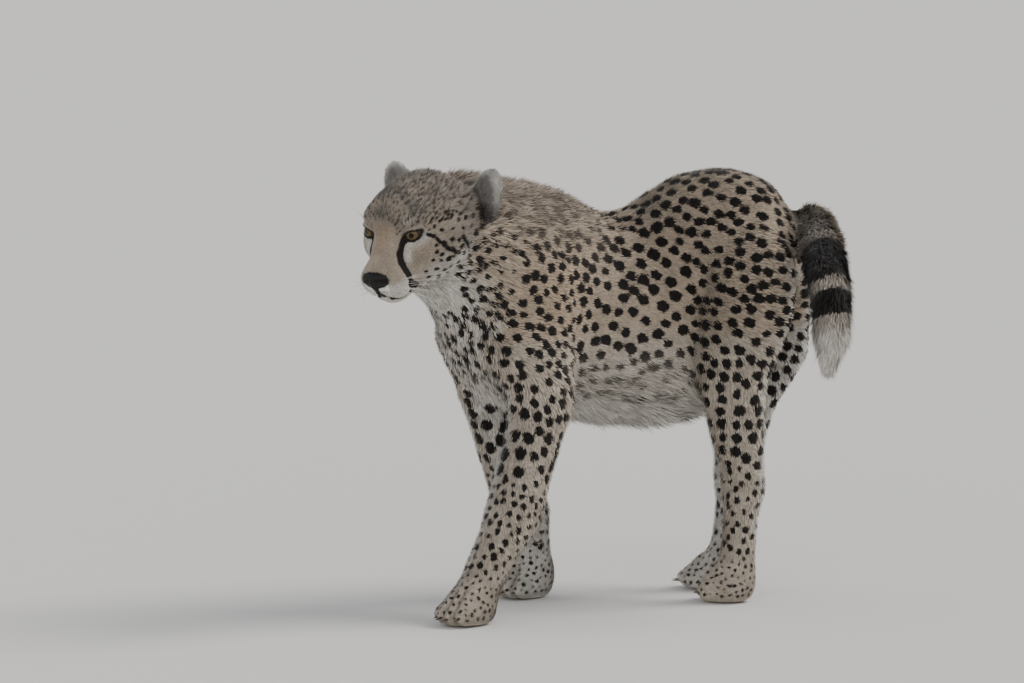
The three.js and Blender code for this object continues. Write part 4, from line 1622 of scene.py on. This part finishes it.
def makeWhiskers(tree):
    plan = whiskerPlan
    chance = np.random.default_rng(plan["seed"])
    corners, faces = [], []

    def addWhisker(root, way, droop, length):
        first = len(corners)
        side = unit(np.cross(way, (0, 0, 1.0)))
        over = np.cross(side, way)
        for step in range(plan["segments"]):
            t = step / plan["segments"]
            place = root + way * length * t + droop * length * t * t
            for corner in range(3):
                turn = 2 * math.pi * corner / 3
                out = side * math.cos(turn) + over * math.sin(turn)
                corners.append(place + out * plan["radius"] * (1 - t))
        corners.append(root + way * length + droop * length)
        for step in range(plan["segments"] - 1):
            for corner in range(3):
                a, b = first + step * 3 + corner, first + step * 3 + (corner + 1) % 3
                faces.append((a, b, b + 3, a + 3))
        last = first + (plan["segments"] - 1) * 3
        for corner in range(3):
            faces.append((last + corner, last + (corner + 1) % 3, len(corners) - 1))
        faces.append((first + 2, first + 1, first))

    for side in (1, -1):
        for row in range(plan["rows"]):
            for step in range(plan["perRow"]):
                place = np.array(plan["first"]) + (-plan["back"] * step, 4 + step * 2, -plan["down"] * row)
                near = tree.find_nearest(Vector(fromHead(place * (1, side, 1))))[0]
                root = inHead(np.array([near]))[0] - (0, side * 0.6, 0)
                way = np.array((0.25 - 0.32 * step, side * 1.0, 0.12 - 0.13 * row))
                way = unit(way + chance.normal(0, 0.07, 3))
                droop = np.array((-0.22, -side * 0.08, -0.16 - 0.05 * row))
                addWhisker(root, way, droop, chance.uniform(*plan["length"]) * (0.7 + 0.08 * step))
        for step in range(plan["overEye"]):
            root = eyeMiddle(side) + np.array((10 - step, side * (-6 + 4 * step), 18))
            near = tree.find_nearest(Vector(fromHead(root)))[0]
            way = unit(np.array((0.5, side * (0.25 + 0.1 * step), 1.0)) + chance.normal(0, 0.08, 3))
            droop = np.array((-0.2, side * 0.1, -0.1))
            addWhisker(inHead(np.array([near]))[0], way, droop, chance.uniform(*plan["browLength"]))
    mesh = meshFrom("whiskers", fromHead(corners), faces)
    facedOutward(mesh)
    mesh.shade_smooth()
    material, nodes, shader = newMaterial("whiskerHair")
    colour = blended(nodes, noiseOf(nodes, 90.0), (0.6, 0.57, 0.52), plan["colour"])
    nodes.links.new(colour, shader.inputs["Base Color"])
    shader.inputs["Roughness"].default_value = 0.4
    mesh.materials.append(material)
    return linkObject("whiskers", mesh)


whiskers = makeWhiskers(skinTree)
print("whiskers")


# The claws keep the frame's own shapes and get a horn finish.
clawColours = ((0.028, 0.02, 0.015), (0.12, 0.09, 0.06))


def clawMaterial():
    material, tree, shader = newMaterial("clawHorn")
    grain = noiseOf(tree, 700.0, 4.0)
    tree.links.new(blended(tree, grain, *clawColours), shader.inputs["Base Color"])
    tree.links.new(mapped(tree, grain, 0.3, 0.7, 0.28, 0.45), shader.inputs["Roughness"])
    bump = addNode(tree, "ShaderNodeBump", {"Strength": 0.3, "Distance": 0.0003, "Height": grain})
    tree.links.new(bump.outputs[0], shader.inputs["Normal"])
    return material


clawFinish = clawMaterial()
for name in clawNodes:
    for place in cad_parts[name].material_slots:
        place.material = clawFinish
print("claws")


studio = {
    "floorSide": 60.0,
    "floorColour": (0.70, 0.69, 0.67),
    "skyColour": (0.93, 0.96, 1.0),
    "skyStrength": 0.55,
    # where it comes from, spread in degrees, strength, colour
    "lamps": [
        ((1.3, 1.9, 2.4), 30.0, 2.3, (1.0, 0.96, 0.9)),
        ((2.6, -2.6, 1.6), 60.0, 0.8, (1.0, 0.98, 0.96)),
        ((-2.4, -2.2, 1.2), 60.0, 0.4, (0.95, 0.97, 1.0)),
    ],
}


def makeStudio():
    half = studio["floorSide"] / 2
    mesh = meshFrom("floor", [(-half, -half, 0), (half, -half, 0), (half, half, 0), (-half, half, 0)],
                    [(0, 1, 2, 3)])
    floor = linkObject("floor", mesh)
    material, _, shader = newMaterial("paleFloor")
    shader.inputs["Base Color"].default_value = (*studio["floorColour"], 1.0)
    shader.inputs["Roughness"].default_value = 0.9
    mesh.materials.append(material)
    world = bpy.data.worlds.new("studio")
    world.use_nodes = True
    world.node_tree.nodes["Background"].inputs["Color"].default_value = (*studio["skyColour"], 1.0)
    world.node_tree.nodes["Background"].inputs["Strength"].default_value = studio["skyStrength"]
    scene.world = world
    for place, spread, strength, colour in studio["lamps"]:
        lamp = bpy.data.lights.new("lamp", "SUN")
        lamp.angle, lamp.energy, lamp.color = math.radians(spread), strength, colour
        holder = bpy.data.objects.new("lamp", lamp)
        holder.location = place
        holder.rotation_mode = "QUATERNION"
        holder.rotation_quaternion = (-Vector(place)).to_track_quat("-Z", "Y")
        scene.collection.objects.link(holder)
    return floor


makeStudio()


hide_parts(*bodyNodes, *earNodes)
for node, eye in eyes.items():
    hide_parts(node)
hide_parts("nose")
for piece in [skin, nose, whiskers] + list(eyes.values()) + [p for p, _ in coatPieces]:
    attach(piece, "root")
